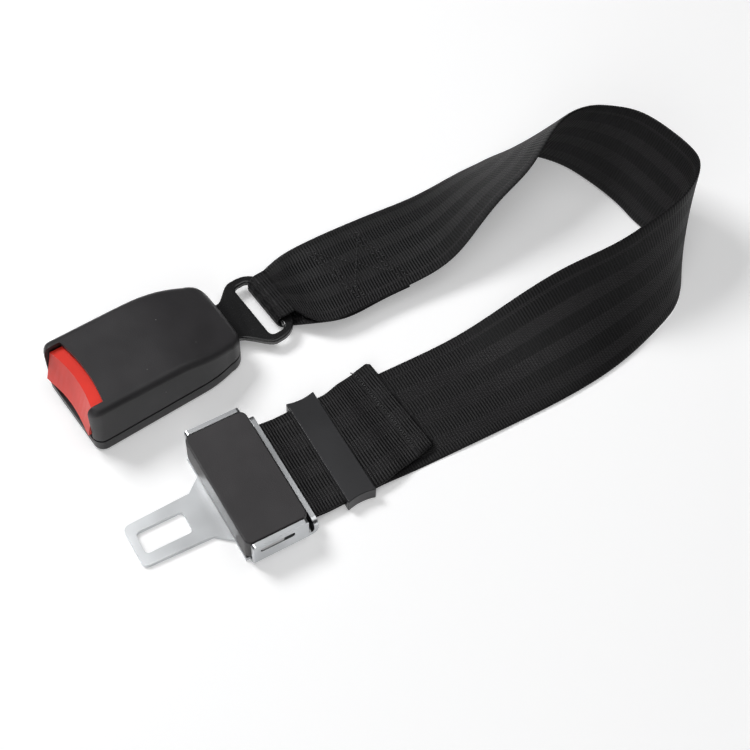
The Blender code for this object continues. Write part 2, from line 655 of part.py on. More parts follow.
def webbing_route():
    """Stations of the webbing from the tail's end to the sewn end.

    Returns the middle points, the half widths as directions with length, and the thicknesses.
    """
    tail, hem_count = tail_rows()
    straight = (0.0, WEB_WIDTH / 2, 0.0)
    wrap = turn_points(BAR_TURN_X, BAR_Z, BAR_TURN_RADIUS, 90, 270)[1:-1]
    wrap = with_half([(x, 0.0, z) for x, z in wrap], straight)

    strand = [
        (BAR_TURN_X, 0.0, BAR_Z - BAR_TURN_RADIUS),
        (BAR_MIDDLE_X, 0.0, BAR_Z - BAR_TURN_RADIUS - STRAND_SAG / 4),
        (STRAND_LEVEL_X, 0.0, BAR_Z - BAR_TURN_RADIUS - STRAND_SAG),
        (LIP_BEND_X, 0.0, STRAND_LOW_Z),
        (LIP_OUTER_X, 0.0, STRAND_LOW_Z),
        (KEEPER_X - KEEPER_LENGTH / 2 - RISE_LENGTH, 0.0, KEEPER_STRAND_Z),
        (KEEPER_X - KEEPER_LENGTH / 2, 0.0, KEEPER_STRAND_Z),
        (KEEPER_X, 0.0, KEEPER_STRAND_Z),
        (KEEPER_X + KEEPER_LENGTH / 2, 0.0, KEEPER_STRAND_Z),
        (KEEPER_X + KEEPER_LENGTH / 2 + KEEPER_TRAVEL, 0.0, KEEPER_STRAND_Z),
    ]
    free = edge_rows(FREE_RUN)
    loop = eye_rows()
    run = cubic_through(np.vstack([with_half(strand, straight), free, loop[:1]]), WEB_STEP)

    sewn = free[-SEWN_ROWS:][::-1].copy()
    sewn[:, 2] -= WEB_THICKNESS + GAP
    under = cubic_through(np.vstack([loop[-1:], sewn]), WEB_STEP)[1:]

    rows = np.vstack([tail, wrap, run, loop[1:], under])
    thickness = np.full(len(rows), WEB_THICKNESS)
    thickness[:hem_count] = HEM_THICKNESS
    return rows[:, :3], rows[:, 3:], thickness


def build_webbing(material):
    """One closed ribbon from the folded tail round the lock bar, the loop and the anchor eye."""
    middle, half, thickness = webbing_route()
    normal = np.cross(np.gradient(middle, axis=0), half)
    normal /= np.linalg.norm(normal, axis=1)[:, None]
    rings = []
    for m, h, n, t in zip(middle, half, normal, thickness):
        places = (-1.0, -0.33, 0.33, 1.0)
        upper = [m + h * k + n * (t / 2) for k in places]
        lower = [m + h * k - n * (t / 2) for k in reversed(places)]
        rings.append(upper + lower)
    webbing = loft("webbing", rings)
    return shade(webbing, material, 50.0)


def case_side(inset=0.0):
    """Half outline of the casing from its front to its rear, as (u, half width) pairs."""
    half = CASE_WIDTH / 2 - inset
    front = -CASE_LENGTH / 2 + inset
    rear = CASE_LENGTH / 2 - inset
    r_front = max(CASE_FRONT_CORNER - inset, 0.3 * MM)
    r_rear = max(CASE_REAR_CORNER - inset, 0.3 * MM)
    taper = np.linspace(0.0, 1.0, 8)
    end = rear - r_rear
    side = arc((front + r_front, half - r_front), r_front, 180, 90, 6)
    side += [(CASE_TAPER_U + (end - CASE_TAPER_U) * t, half - CASE_TAPER * t * t) for t in taper]
    side += arc((end, half - CASE_TAPER - r_rear), r_rear, 90, 0, 8)[1:]
    return side


def case_outline(inset=0.0):
    """Whole outline of the casing seen from above."""
    side = case_side(inset)
    return side + [(u, -v) for u, v in reversed(side)]


def case_top(u):
    """Height of the casing's roof: a gentle fall to the hump and a steeper one behind it."""
    k = CASE_HUMP_BLEND
    past_hump = k * np.log1p(np.exp((u - CASE_HUMP_U) / k))
    fall = CASE_FRONT_SLOPE * (u + CASE_LENGTH / 2)
    return CASE_FRONT_HEIGHT + fall + (CASE_REAR_SLOPE - CASE_FRONT_SLOPE) * past_hump


def casing_body(name, inset, low, roof_drop, edge):
    """Loft the casing's outer or inner form along its length."""
    side = case_side(inset)
    front, rear = side[0][0], side[-1][0]
    mid_u = np.linspace(side[6][0], CASE_TAPER_U, 12)[1:-1]
    stations = side[:7] + [(u, side[6][1]) for u in mid_u] + side[7:]
    rings = []
    for u, half in stations:
        end_drop = 0.0
        for end in (front, rear):
            near = max(0.0, edge - abs(u - end))
            end_drop += edge - math.sqrt(edge**2 - near**2)
        top = case_top(u) - roof_drop - end_drop
        r = min(edge, 0.45 * half)
        left = arc((-half + r, top - r), r, 180, 90, 4)
        crown = [(v, top + CASE_CROWN * (1 - (v / (half - r)) ** 2)) for v in (-half / 3, 0.0, half / 3)]
        right = arc((half - r, top - r), r, 90, 0, 4)
        ring = [(-half, low)] + left + crown + right + [(half, low)]
        rings.append([(u, v, z) for v, z in ring])
    return loft(name, rings)


def seam_ring(name):
    """Ring that cuts the seam groove into both shells from outside."""
    outer = case_outline(-CASE_WALL)
    ring = prism(name, outer, SEAM_Z - SEAM_GROOVE, SEAM_Z + SEAM_GROOVE)
    return cut(ring, prism("core", case_outline(SEAM_GROOVE), 0.0, 2 * SEAM_Z))


def button_cut_outline():
    """Opening for the button and the tongue, closed by a shallow arc to the rear."""
    half = BUTTON_WIDTH / 2 + SIDE_PLAY
    rear = -CASE_LENGTH / 2 + BUTTON_CUT_DEPTH
    radius = (half**2 + BUTTON_CUT_SAG**2) / (2 * BUTTON_CUT_SAG)
    spread = math.degrees(math.asin(half / radius))
    centre = rear + BUTTON_CUT_SAG - radius
    curve = arc((centre, 0.0), radius, spread, -spread, 12)
    front = -CASE_LENGTH
    return [(front, -half), (front, half)] + curve


def build_upper_housing(material):
    """Crowned upper shell with the button's opening, the neck's notch and two spring stops."""
    shell = casing_body("upper_housing", 0.0, SEAM_Z + GAP / 2, 0.0, CASE_EDGE)
    inner = casing_body("inside", CASE_WALL, 0.0, CASE_WALL, CASE_EDGE - CASE_WALL)
    opening = prism("opening", button_cut_outline(), 0.0, 2 * CASE_FRONT_HEIGHT)
    cut(shell, inner, opening, neck_notch(), seam_ring("groove"))
    rib_half = SPRING_RADIUS + SPRING_WIRE
    rib_u = (BUTTON_SPRING_REAR_U, BUTTON_SPRING_REAR_U + RIB_WIDTH)
    roof = float(case_top(rib_u[1])) - CASE_WALL / 2
    for side in (-1, 1):
        middle = side * BUTTON_SPRING_V
        rib = block(
            "spring_stop", rib_u, (middle - rib_half, middle + rib_half), (BUTTON_SPRING_Z - rib_half, roof)
        )
        fuse(shell, rib)
    return shade(shell, material, 30.0)


def neck_notch():
    """Cutter for the slot that the anchor plate's neck leaves the casing through."""
    half = NECK_HALF + 2 * GAP
    low = ANCHOR_LOW_Z - EYE_DROP
    return block("neck_notch", (CASE_LENGTH / 4, CASE_LENGTH), (-half, half), (low, ANCHOR_TOP_Z + 2 * GAP))


def build_lower_housing(material):
    """Shallow tray under the frame, with four ribs that the frame stands on."""
    e = CASE_BOTTOM_EDGE
    insets = [(e * (1 - math.sin(a)), e * (1 - math.cos(a))) for a in np.linspace(0, math.pi / 2, 5)]
    rings = [[(u, v, z) for u, v in case_outline(inset)] for inset, z in insets]
    rings.append([(u, v, SEAM_Z - GAP / 2) for u, v in case_outline()])
    tray = loft("lower_housing", rings)
    inside = prism("inside", case_outline(CASE_WALL), CASE_WALL, 2 * SEAM_Z)
    mouth = prism("mouth", button_cut_outline(), FRAME_BASE_TOP - GAP, 2 * SEAM_Z)
    cut(tray, inside, seam_ring("groove"), mouth, neck_notch())
    rib_v = (FRAME_INNER_HALF - RIB_WIDTH, FRAME_INNER_HALF)
    for u in (FRAME_FRONT_U + RIB_WIDTH, FRAME_REAR_U - RIB_WIDTH - RIB_LENGTH):
        rib = block("rib", (u, u + RIB_LENGTH), rib_v, (CASE_WALL / 2, BASE_LOW_Z - GAP))
        fuse(tray, mirrored_y(rib), rib)
    return shade(tray, material, 30.0)


def button_line(start, hollow, setback=0.0):
    """Concave line across the button, from its ends' place to its hollowed middle."""
    half = BUTTON_WIDTH / 2
    v = np.linspace(half, -half, 13)
    u = start + setback + hollow * (1 - (v / half) ** 2)
    return list(zip(u, v))


def button_face_u(z, v, top):
    """Place of the button's slanting front face at a height and a distance across."""
    t = (z - BUTTON_BOTTOM_Z) / (top - BUTTON_BOTTOM_Z)
    start = BUTTON_FOOT_U + (BUTTON_FRONT_U - BUTTON_FOOT_U) * t
    hollow = BUTTON_FOOT_HOLLOW + (BUTTON_TOP_HOLLOW - BUTTON_FOOT_HOLLOW) * t
    return start + hollow * (1 - (2 * v / BUTTON_WIDTH) ** 2)


def button_top():
    """Height of the button's front edge, under the casing's roof."""
    return float(case_top(BUTTON_FRONT_U)) - CASE_WALL - BUTTON_DROP


def build_release_button(material):
    """Red button: slanting hollowed front, hood under the roof and two legs that carry the lock pin."""
    half = BUTTON_WIDTH / 2
    hood_u = -CASE_LENGTH / 2 + BUTTON_CUT_DEPTH + BUTTON_CUT_SAG + BUTTON_HOOD
    front_top = button_top()
    hood_top = float(case_top(hood_u)) - CASE_WALL - BUTTON_DROP

    rings = []
    for z, start, hollow in (
        (BUTTON_BOTTOM_Z, BUTTON_FOOT_U, BUTTON_FOOT_HOLLOW),
        (front_top, BUTTON_FRONT_U, BUTTON_TOP_HOLLOW),
    ):
        plan = button_line(start, hollow) + button_line(start, hollow, BUTTON_WALL)[::-1]
        rings.append([(u, v, z) for u, v in plan])
    button = loft("release_button", rings)
    hood_plan = button_line(BUTTON_FRONT_U, BUTTON_TOP_HOLLOW, BUTTON_WALL / 2)
    hood_plan += [(hood_u, -half), (hood_u, half)]
    hood = prism("hood", hood_plan, BUTTON_BOTTOM_Z, front_top)
    fall = (front_top - hood_top) / (hood_u - BUTTON_FRONT_U)

    def sloped(offset):
        """Outline of the space above the hood's sloping top, moved up by an offset."""
        return [
            (BUTTON_FRONT_U - half, front_top + offset + fall * half),
            (hood_u, hood_top + offset),
            (CASE_LENGTH, hood_top + offset),
            (CASE_LENGTH, 2 * front_top),
            (BUTTON_FRONT_U - half, 2 * front_top),
        ]

    keep(hood, prism("under_roof", sloped(-BUTTON_ROOF), -CASE_WIDTH, CASE_WIDTH, "Y"))
    leg_end = LOCK_PIN_U + LEG_PAST_PIN
    leg_low = LOCK_PIN_Z - LEG_HEIGHT / 2
    leg_v = (LEG_INNER_V, half)
    leg_start = BUTTON_FRONT_U + BUTTON_WALL / 2
    leg = block("leg", (leg_start, leg_end), leg_v, (leg_low, leg_low + LEG_HEIGHT))
    cheek = block("cheek", (leg_start, hood_u), leg_v, (BUTTON_BOTTOM_Z, front_top - BUTTON_ROOF / 2))
    pin_hole = prism("pin_hole", disc((LOCK_PIN_U, LOCK_PIN_Z), PIN_RADIUS + GAP), 0.0, CASE_WIDTH, "Y")
    cut(leg, pin_hole)
    fuse(leg, cheek)
    fuse(button, hood, mirrored_y(leg), leg)
    cut(button, prism("slope", sloped(0.0), -CASE_WIDTH, CASE_WIDTH, "Y"))
    v = np.linspace(-half * 1.2, half * 1.2, 13)
    arch = [(a, BUTTON_BOTTOM_Z + BUTTON_ARCH * max(0.0, 1 - (a / LEG_INNER_V) ** 2)) for a in v]
    arch += [(1.2 * half, 0.0), (-1.2 * half, 0.0)]
    cut(button, prism("arch", arch, -CASE_LENGTH, 0.0, "X"))
    return shade(button, material, 30.0)


def build_buckle_frame(material):
    """Steel channel: a base with rivet holes and two walls with the lock pin's slots."""
    base = block(
        "buckle_frame", (FRAME_FRONT_U, FRAME_REAR_U), (-FRAME_HALF, FRAME_HALF), (BASE_LOW_Z, FRAME_BASE_TOP)
    )
    reach = PIN_RADIUS + GAP
    slot_end = LOCK_PIN_U + BUTTON_TRAVEL + reach
    wall_side = [
        (FRAME_WALL_FRONT_U, BASE_LOW_Z + GAP),
        (FRAME_WALL_FRONT_U, FRAME_WALL_TOP - FRAME_WALL_CHAMFER),
        (FRAME_WALL_FRONT_U + FRAME_WALL_CHAMFER, FRAME_WALL_TOP),
        (slot_end + FRAME_WALL, FRAME_WALL_TOP),
        (FRAME_WALL_REAR_U, FRAME_WALL_REAR_TOP),
        (FRAME_WALL_REAR_U, BASE_LOW_Z + GAP),
    ]
    wall = prism("wall", wall_side, FRAME_INNER_HALF, FRAME_HALF, "Y")
    slot = rounded_rectangle(
        (LOCK_PIN_U - reach, slot_end), (LOCK_PIN_Z - reach, LOCK_PIN_Z + reach), reach
    )
    cut(
        wall,
        prism("pin_slot", slot, 0.0, CASE_WIDTH, "Y"),
        prism("pin_hole", disc((LATCH_PIN_U, LATCH_PIN_Z), reach), 0.0, CASE_WIDTH, "Y"),
    )
    fuse(base, mirrored_y(wall), wall)
    cut(base, *rivet_holes())
    return shade(base, material, 30.0)


def rivet_places():
    """Places of the two rivets along the buckle."""
    return (RIVET_FRONT_U, RIVET_FRONT_U + RIVET_PITCH)


def rivet_holes():
    """Cutters for the rivets' holes."""
    radius = RIVET_RADIUS + GAP
    return [prism("rivet_hole", disc((u, 0.0), radius, 16), 0.0, 2 * ANCHOR_TOP_Z) for u in rivet_places()]


def anchor_outline():
    """Neck, flare and round eye of the anchor plate."""
    eye_rear = EYE_BAR_U + EYE_BAR / 2
    flare = EYE_HALF - NECK_HALF
    blend = np.linspace(0.0, 1.0, 9)
    side = [(ANCHOR_FRONT_U, NECK_HALF)]
    side += [(EYE_FLARE_U + EYE_FLARE_LENGTH * t, NECK_HALF + flare * t * t * (3 - 2 * t)) for t in blend]
    side += arc((eye_rear - EYE_REAR_RADIUS, EYE_HALF - EYE_REAR_RADIUS), EYE_REAR_RADIUS, 90, 0, 8)
    whole = side + [(u, -v) for u, v in reversed(side)]
    return [(u, v + EYE_OFFSET * min(1.0, max(0.0, (u - EYE_FLARE_U) / EYE_FLARE_LENGTH))) for u, v in whole]


def build_anchor_plate(material):
    """Black steel plate from the frame to the eye that the webbing goes through."""
    eye_rear = EYE_BAR_U + EYE_BAR
    bends = [(EYE_DROP_U, 0.0), (EYE_DROP_U + EYE_DROP_LENGTH, -EYE_DROP), (eye_rear, -EYE_DROP)]
    top = [(ANCHOR_FRONT_U - EYE_BAR, ANCHOR_TOP_Z)] + [(u, ANCHOR_TOP_Z + drop) for u, drop in bends]
    section = top + [(u, z - ANCHOR_SHEET) for u, z in reversed(top)]
    plate = prism("anchor_plate", section, -CASE_WIDTH, CASE_WIDTH, "Y")
    keep(plate, prism("plan", anchor_outline(), 0.0, 2 * ANCHOR_TOP_Z))
    slot_end = EYE_BAR_U - EYE_BAR / 2
    slot = rounded_rectangle(
        (slot_end - EYE_SLOT_LENGTH, slot_end),
        (EYE_OFFSET - EYE_SLOT_HALF, EYE_OFFSET + EYE_SLOT_HALF),
        EYE_SLOT_RADIUS,
    )
    cut(plate, prism("slot", slot, 0.0, 2 * ANCHOR_TOP_Z), *rivet_holes())
    round_edges(plate, ANCHOR_SHEET / 6, 50.0, 1)
    return shade(plate, material, 30.0)


def turned(name, profile, centre, steps=20):
    """Turn a profile of (radius, height) pairs about an upright axis."""
    rings = []
    for radius, z in profile:
        rings.append([(x, y, z) for x, y in disc(centre, radius, steps)])
    return loft(name, rings)


def build_rivet(name, u, material):
    """Rivet with a low head on each side of the frame and the anchor plate."""
    low, high = BASE_LOW_Z - GAP, ANCHOR_TOP_Z + GAP
    profile = [
        (0.8 * RIVET_HEAD_RADIUS, low - RIVET_HEAD),
        (RIVET_HEAD_RADIUS, low - RIVET_HEAD / 2),
        (RIVET_HEAD_RADIUS, low),
        (RIVET_RADIUS, low),
        (RIVET_RADIUS, high),
        (RIVET_HEAD_RADIUS, high),
        (RIVET_HEAD_RADIUS, high + RIVET_HEAD / 2),
        (0.6 * RIVET_HEAD_RADIUS, high + RIVET_HEAD),
    ]
    return shade(turned(name, profile, (u, 0.0)), material)


def build_pin(name, u, z, half_length, material):
    """Plain round pin across the buckle."""
    pin = prism(name, disc((u, z), PIN_RADIUS, 16), -half_length, half_length, "Y")
    return shade(pin, material)


def build_latch_plate(material):
    """Lever with a barrel round its pin and a tooth that drops into the tongue's hole."""
    arm = block(
        "latch_plate",
        (LATCH_TOOTH_U, LATCH_PIN_U),
        (-LATCH_HALF, LATCH_HALF),
        (LATCH_PIN_Z - LATCH_SHEET / 2, LATCH_TOP_Z),
    )
    barrel_half = FRAME_INNER_HALF - GAP
    barrel = prism(
        "barrel", disc((LATCH_PIN_U, LATCH_PIN_Z), LATCH_BARREL_RADIUS), -barrel_half, barrel_half, "Y"
    )
    tooth = block(
        "tooth",
        (LATCH_TOOTH_U, LATCH_TOOTH_U + LATCH_TOOTH_LENGTH),
        (-LATCH_TOOTH_HALF, LATCH_TOOTH_HALF),
        (LATCH_TOOTH_Z, LATCH_TOP_Z - GAP),
    )
    fuse(arm, barrel, tooth)
    bore = disc((LATCH_PIN_U, LATCH_PIN_Z), PIN_RADIUS + GAP)
    cut(arm, prism("bore", bore, -CASE_WIDTH, CASE_WIDTH, "Y"))
    return shade(arm, material)


def build_ejector(material):
    """Forked slider on the frame's base that pushes the tongue out."""
    low = FRAME_BASE_TOP + GAP
    high = low + EJECTOR_HEIGHT
    side = [
        (EJECTOR_FRONT_U, low),
        (EJECTOR_REAR_U, low),
        (EJECTOR_REAR_U, high),
        (EJECTOR_FRONT_U + EJECTOR_NOSE, high),
        (EJECTOR_FRONT_U, high - EJECTOR_NOSE),
    ]
    ejector = prism("ejector", side, -EJECTOR_HALF, EJECTOR_HALF, "Y")
    fork_half = EJECTOR_HALF - EJECTOR_PRONG
    fork = block(
        "fork", (-CASE_LENGTH, EJECTOR_REAR_U - EJECTOR_WEB), (-fork_half, fork_half), (0.0, 2 * high)
    )
    return shade(cut(ejector, fork), material)


def build_spring(name, start, end, material):
    """Coil spring of round wire between two points, with a closed end at each side."""
    start, end = Vector(start), Vector(end)
    axis = (end - start).normalized()
    side = axis.orthogonal().normalized()
    other = axis.cross(side)
    length = (end - start).length
    turns = max(3, int(round(length * COILS_PER_METRE)))
    steps = 10
    margin = SPRING_WIRE
    spline_points = []
    for i in range(turns * steps + 1):
        t = i / (turns * steps)
        angle = 2 * math.pi * turns * t
        ring = side * math.cos(angle) + other * math.sin(angle)
        spline_points.append(start + axis * (margin + (length - 2 * margin) * t) + ring * SPRING_RADIUS)
    curve = bpy.data.curves.new(name, "CURVE")
    curve.dimensions = "3D"
    curve.bevel_depth = SPRING_WIRE
    curve.bevel_resolution = 0
    curve.use_fill_caps = True
    spline = curve.splines.new("POLY")
    spline.points.add(len(spline_points) - 1)
    for point, place in zip(spline.points, spline_points):
        point.co = (*place, 1.0)
    wire = bpy.data.objects.new(name, curve)
    bpy.context.scene.collection.objects.link(wire)
    bpy.context.view_layer.update()
    graph = bpy.context.evaluated_depsgraph_get()
    mesh = bpy.data.meshes.new_from_object(wire.evaluated_get(graph))
    bpy.data.objects.remove(wire, do_unlink=True)
    bpy.data.curves.remove(curve)
    mesh.name = name
    spring = bpy.data.objects.new(name, mesh)
    bpy.context.scene.collection.objects.link(spring)
    return shade(spring, material)


def build_buckle(plastic, red, steel, black_steel, white):
    """Build every piece of the buckle and hang it on the pivot at the anchor's eye."""
    pivot_place = (EYE_BAR_U, 0.0, PIVOT_Z)
    pivot = bpy.data.objects.new("buckle_pivot", None)
    bpy.context.scene.collection.objects.link(pivot)
    pivot.location = buckle_point(*pivot_place)
    pivot.rotation_euler = (0.0, 0.0, BUCKLE_YAW)

    for piece in (
        build_upper_housing(plastic),
        build_lower_housing(plastic),
        build_buckle_frame(steel),
        build_anchor_plate(black_steel),
    ):
        hang(piece, pivot, pivot_place)
    for name, u in zip(("anchor_rivet_front", "anchor_rivet_rear"), rivet_places()):
        hang(build_rivet(name, u, steel), pivot, pivot_place)

    latch_axis = (LATCH_PIN_U, 0.0, LATCH_PIN_Z)
    hang(build_pin("latch_pin", LATCH_PIN_U, LATCH_PIN_Z, FRAME_HALF + 2 * GAP, steel), pivot, pivot_place)
    hang(build_latch_plate(steel), pivot, pivot_place, latch_axis)

    lock_axis = (LOCK_PIN_U, 0.0, LOCK_PIN_Z)
    lock_half = BUTTON_WIDTH / 2 - GAP
    hang(build_pin("lock_pin", LOCK_PIN_U, LOCK_PIN_Z, lock_half, steel), pivot, pivot_place, lock_axis)
    hang(build_release_button(red), pivot, pivot_place, lock_axis)

    low = FRAME_BASE_TOP + GAP
    coil = SPRING_RADIUS + SPRING_WIRE
    ejector_axis = (EJECTOR_FRONT_U, 0.0, low)
    hang(build_ejector(white), pivot, pivot_place, ejector_axis)
    hang(
        build_spring(
            "ejector_spring",
            (EJECTOR_REAR_U + GAP, 0.0, low + coil),
            (ANCHOR_FRONT_U - GAP, 0.0, low + coil),
            steel,
        ),
        pivot,
        pivot_place,
    )
    plate_rear = BUTTON_WALL + button_face_u(BUTTON_SPRING_Z + coil, BUTTON_SPRING_V, button_top())
    for name, side in (("button_spring_left", 1), ("button_spring_right", -1)):
        v = side * BUTTON_SPRING_V
        front = (plate_rear + 2 * GAP, v, BUTTON_SPRING_Z)
        rear = (BUTTON_SPRING_REAR_U - GAP, v, BUTTON_SPRING_Z)
        hang(build_spring(name, front, rear, steel), pivot, pivot_place)
    ceiling = float(case_top(LATCH_SPRING_U + coil)) - CASE_WALL
    hang(
        build_spring(
            "latch_spring",
            (LATCH_SPRING_U, 0.0, LATCH_TOP_Z + GAP),
            (LATCH_SPRING_U, 0.0, ceiling - GAP),
            steel,
        ),
        pivot,
        pivot_place,
    )


def main():
    """Build the whole extender."""
    clear_scene()
    plastic = finish("black_plastic", (0.055, 0.053, 0.056), 0.5)
    red = finish("red_plastic", (0.84, 0.035, 0.02), 0.35)
    zinc = finish("zinc_plated_steel", (0.62, 0.63, 0.65), 0.25, 1.0)
    steel = finish("bare_steel", (0.5, 0.5, 0.5), 0.35, 1.0)
    black_steel = finish("black_coated_steel", (0.03, 0.03, 0.03), 0.4, 0.3)
    white = finish("white_plastic", (0.7, 0.7, 0.68), 0.45)
    polyester = finish("black_webbing", (0.015, 0.015, 0.016), 0.7)
    build_tongue_frame(zinc)
    build_adjuster_cover(plastic)
    build_lock_bar(steel)
    build_keeper(plastic)
    build_webbing(polyester)
    build_buckle(plastic, red, steel, black_steel, white)
    bpy.context.view_layer.update()


main()
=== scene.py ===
"""Looks of the seat belt extender: webbing, sewing, shells, plated tongue, floor, light and camera."""
import logging
import math
from dataclasses import dataclass, field
from enum import Enum

import bmesh
import bpy
import numpy as np
from bpy.types import ID, Material, Mesh, Node, NodeSocket, NodeTree, Object
from mathutils import Matrix, Vector


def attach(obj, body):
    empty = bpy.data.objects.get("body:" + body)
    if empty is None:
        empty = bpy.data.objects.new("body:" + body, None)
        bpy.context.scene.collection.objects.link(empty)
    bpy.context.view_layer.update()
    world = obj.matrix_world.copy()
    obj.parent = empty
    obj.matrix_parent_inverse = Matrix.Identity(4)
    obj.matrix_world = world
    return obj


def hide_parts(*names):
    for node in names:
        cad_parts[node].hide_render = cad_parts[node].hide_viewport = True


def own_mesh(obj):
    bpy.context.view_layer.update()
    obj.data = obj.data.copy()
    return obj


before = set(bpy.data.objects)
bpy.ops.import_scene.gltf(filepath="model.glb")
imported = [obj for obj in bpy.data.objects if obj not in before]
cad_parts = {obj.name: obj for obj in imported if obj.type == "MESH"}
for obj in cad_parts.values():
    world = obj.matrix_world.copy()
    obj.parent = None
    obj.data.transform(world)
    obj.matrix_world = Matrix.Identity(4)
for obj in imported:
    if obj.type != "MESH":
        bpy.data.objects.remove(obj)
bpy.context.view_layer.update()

Pair = tuple[float, float]
Triple = tuple[float, float, float]

MM = 0.001
log = logging.getLogger("extender")


class Body(Enum):
    """Bodies of the frame that new pieces ride on."""

    STRAP = "strap"
    SLIDER = "slider"
    BUCKLE = "buckle"
    BUTTON = "button"


class Grain(Enum):
    """Surface grains of moulded and metal pieces, by the size of one grain in millimetres."""

    SPARK = 0.35
    SATIN = 0.9
    ROLLED = 0.6


# Slow drift of shade over a moulded or metal surface, and fine drift of its gloss
DRIFT_SCALE = 45.0
DRIFT_DEPTH = 0.3
DRIFT_BASE = 0.85
GLOSS_DEPTH = 0.2
GRAIN_NOISE = 0.6
SHADE_LOW, SHADE_HIGH = 0.8, 1.2
SHADE_EDGES = (0.9, 1.1)

# Specks of dust and scuffs, by the metre
DUST_SCALE = 210.0
DUST_RADIUS = 0.045
DUST_ABSENT = 0.72
DUST_COLOUR = (0.5, 0.49, 0.47, 1.0)
SCUFF_SCALE = 60.0
SCUFF_STRETCH = 14.0
SCUFF_TURN = 0.7
SCUFF_EDGES = (0.66, 0.74)

# Weave of the webbing, in centimetres across it
CLOTH_MIDDLE = 2.4
BAND_REPEAT = 0.66
BAND_SHIFT = 0.04
BAND_EDGES = (0.30, 0.37)
BAND_REACH = (1.95, 2.02)
PEBBLE_PITCH = 0.085
YARN_PITCH = 0.05
YARN_SHARE = 0.12
# Painted shade: the webbing's colour darkens where the weave is low, deepest in the grooves between ribs
RIB_PAINTED_SHADE, RIB_PAINTED_SHADE_BASE = 1.3, 0.35
FADE_SCALE = 1.3
FADE_DEPTH, FADE_BASE = 0.5, 0.75

# Loose triangles are joined where points are this near and faces this flat
MERGE_DISTANCE = 0.002 * MM
FLAT_ANGLE = math.radians(0.1)
SHARP_DEGREES = 35.0
FLAT_WEIGHT = 60


class Sheet:
    """Adds and joins the nodes of one tree, so that each finish stays short."""

    def __init__(self, tree: NodeTree) -> None:
        """Keep the tree.

        Args:
            tree: where the nodes go.
        """
        self.tree = tree

    def fill(self, node: Node, sockets: dict) -> None:
        """Fill or link inputs of a node.

        Args:
            node: the node.
            sockets: values or sockets by input name or number.
        """
        for name, value in sockets.items():
            if isinstance(value, NodeSocket):
                self.tree.links.new(value, node.inputs[name])
            else:
                node.inputs[name].default_value = value

    def add(self, kind: str, sockets: dict | None = None, **settings) -> Node:
        """Add a node, set its properties, and fill or link its inputs.

        Args:
            kind: Blender's name of the node type.
            sockets: values or sockets by input name or number.
            **settings: properties of the node itself.

        Returns:
            The new node.
        """
        node = self.tree.nodes.new(kind)
        for name, value in settings.items():
            setattr(node, name, value)
        self.fill(node, sockets or {})
        return node

    def maths(self, operation: str, *values, clamp: bool = False) -> NodeSocket:
        """Work out one value from one, two or three others.

        Args:
            operation: Blender's name of the operation.
            *values: numbers or sockets.
            clamp: keep the result from 0 to 1.

        Returns:
            The result's socket.
        """
        sockets = dict(enumerate(values))
        return self.add("ShaderNodeMath", sockets, operation=operation, use_clamp=clamp).outputs[0]

    def ramp(self, value: NodeSocket, low: float, high: float) -> NodeSocket:
        """Turn a value from low to high into a smooth 0 to 1.

        Args:
            value: the value's socket.
            low: where the result is 0.
            high: where the result is 1.

        Returns:
            The result's socket.
        """
        sockets = {"Value": value, "From Min": low, "From Max": high}
        return self.add("ShaderNodeMapRange", sockets, interpolation_type="SMOOTHSTEP").outputs[0]

    def tint(self, fac: NodeSocket, first, second) -> NodeSocket:
        """Mix two colours by a value.

        Args:
            fac: how much of the second colour there is.
            first: a colour or its socket.
            second: a colour or its socket.

        Returns:
            The mixed colour's socket.
        """
        sockets = {0: fac, 6: first, 7: second}
        return self.add("ShaderNodeMix", sockets, data_type="RGBA").outputs[2]

    def bump(self, height: NodeSocket, depth: float) -> NodeSocket:
        """Turn a height into a bumped normal.

        Args:
            height: the height's socket.
            depth: millimetres that a height of 1 stands for.

        Returns:
            The normal's socket.
        """
        sockets = {"Height": height, "Distance": depth * MM, "Strength": 1.0}
        return self.add("ShaderNodeBump", sockets).outputs[0]


VALUE, VECTOR = "NodeSocketFloat", "NodeSocketVector"


def new_group(name: str, inputs: dict[str, str], outputs: tuple[str, ...]) -> tuple:
    """Start a shader node group with named sockets.

    Args:
        name: the group's name.
        inputs: socket types by input name.
        outputs: names of the values that it gives out.

    Returns:
        The group's sheet, its input node and its output node.
    """
    tree = bpy.data.node_groups.new(name, "ShaderNodeTree")
    for label, kind in inputs.items():
        tree.interface.new_socket(label, in_out="INPUT", socket_type=kind)
    for label in outputs:
        tree.interface.new_socket(label, in_out="OUTPUT", socket_type=VALUE)
    sheet = Sheet(tree)
    return sheet, sheet.add("NodeGroupInput"), sheet.add("NodeGroupOutput")


def grain_group() -> NodeTree:
    """Fine grain: small rounded cells with a slow drift of shade and gloss.

    Returns:
        A group that turns a place and a scale into Height, Shade and Gloss.
    """
    inputs = {"Vector": VECTOR, "Scale": VALUE}
    sheet, given, out = new_group("fine_grain", inputs, ("Height", "Shade", "Gloss"))
    place, scale = given.outputs["Vector"], given.outputs["Scale"]
    cells = sheet.add("ShaderNodeTexVoronoi", {"Vector": place, "Scale": scale})
    fine = sheet.add("ShaderNodeTexNoise", {"Vector": place, "Scale": scale, "Detail": 3.0})
    slow = sheet.add("ShaderNodeTexNoise", {"Vector": place, "Scale": DRIFT_SCALE, "Detail": 2.0})
    height = sheet.maths("MULTIPLY_ADD", fine.outputs[0], GRAIN_NOISE, cells.outputs["Distance"])
    shade = sheet.maths("MULTIPLY_ADD", slow.outputs[0], DRIFT_DEPTH, DRIFT_BASE)
    gloss = sheet.maths("MULTIPLY_ADD", fine.outputs[0], GLOSS_DEPTH, -GLOSS_DEPTH / 2)
    sheet.fill(out, {"Height": height, "Shade": shade, "Gloss": gloss})
    return sheet.tree


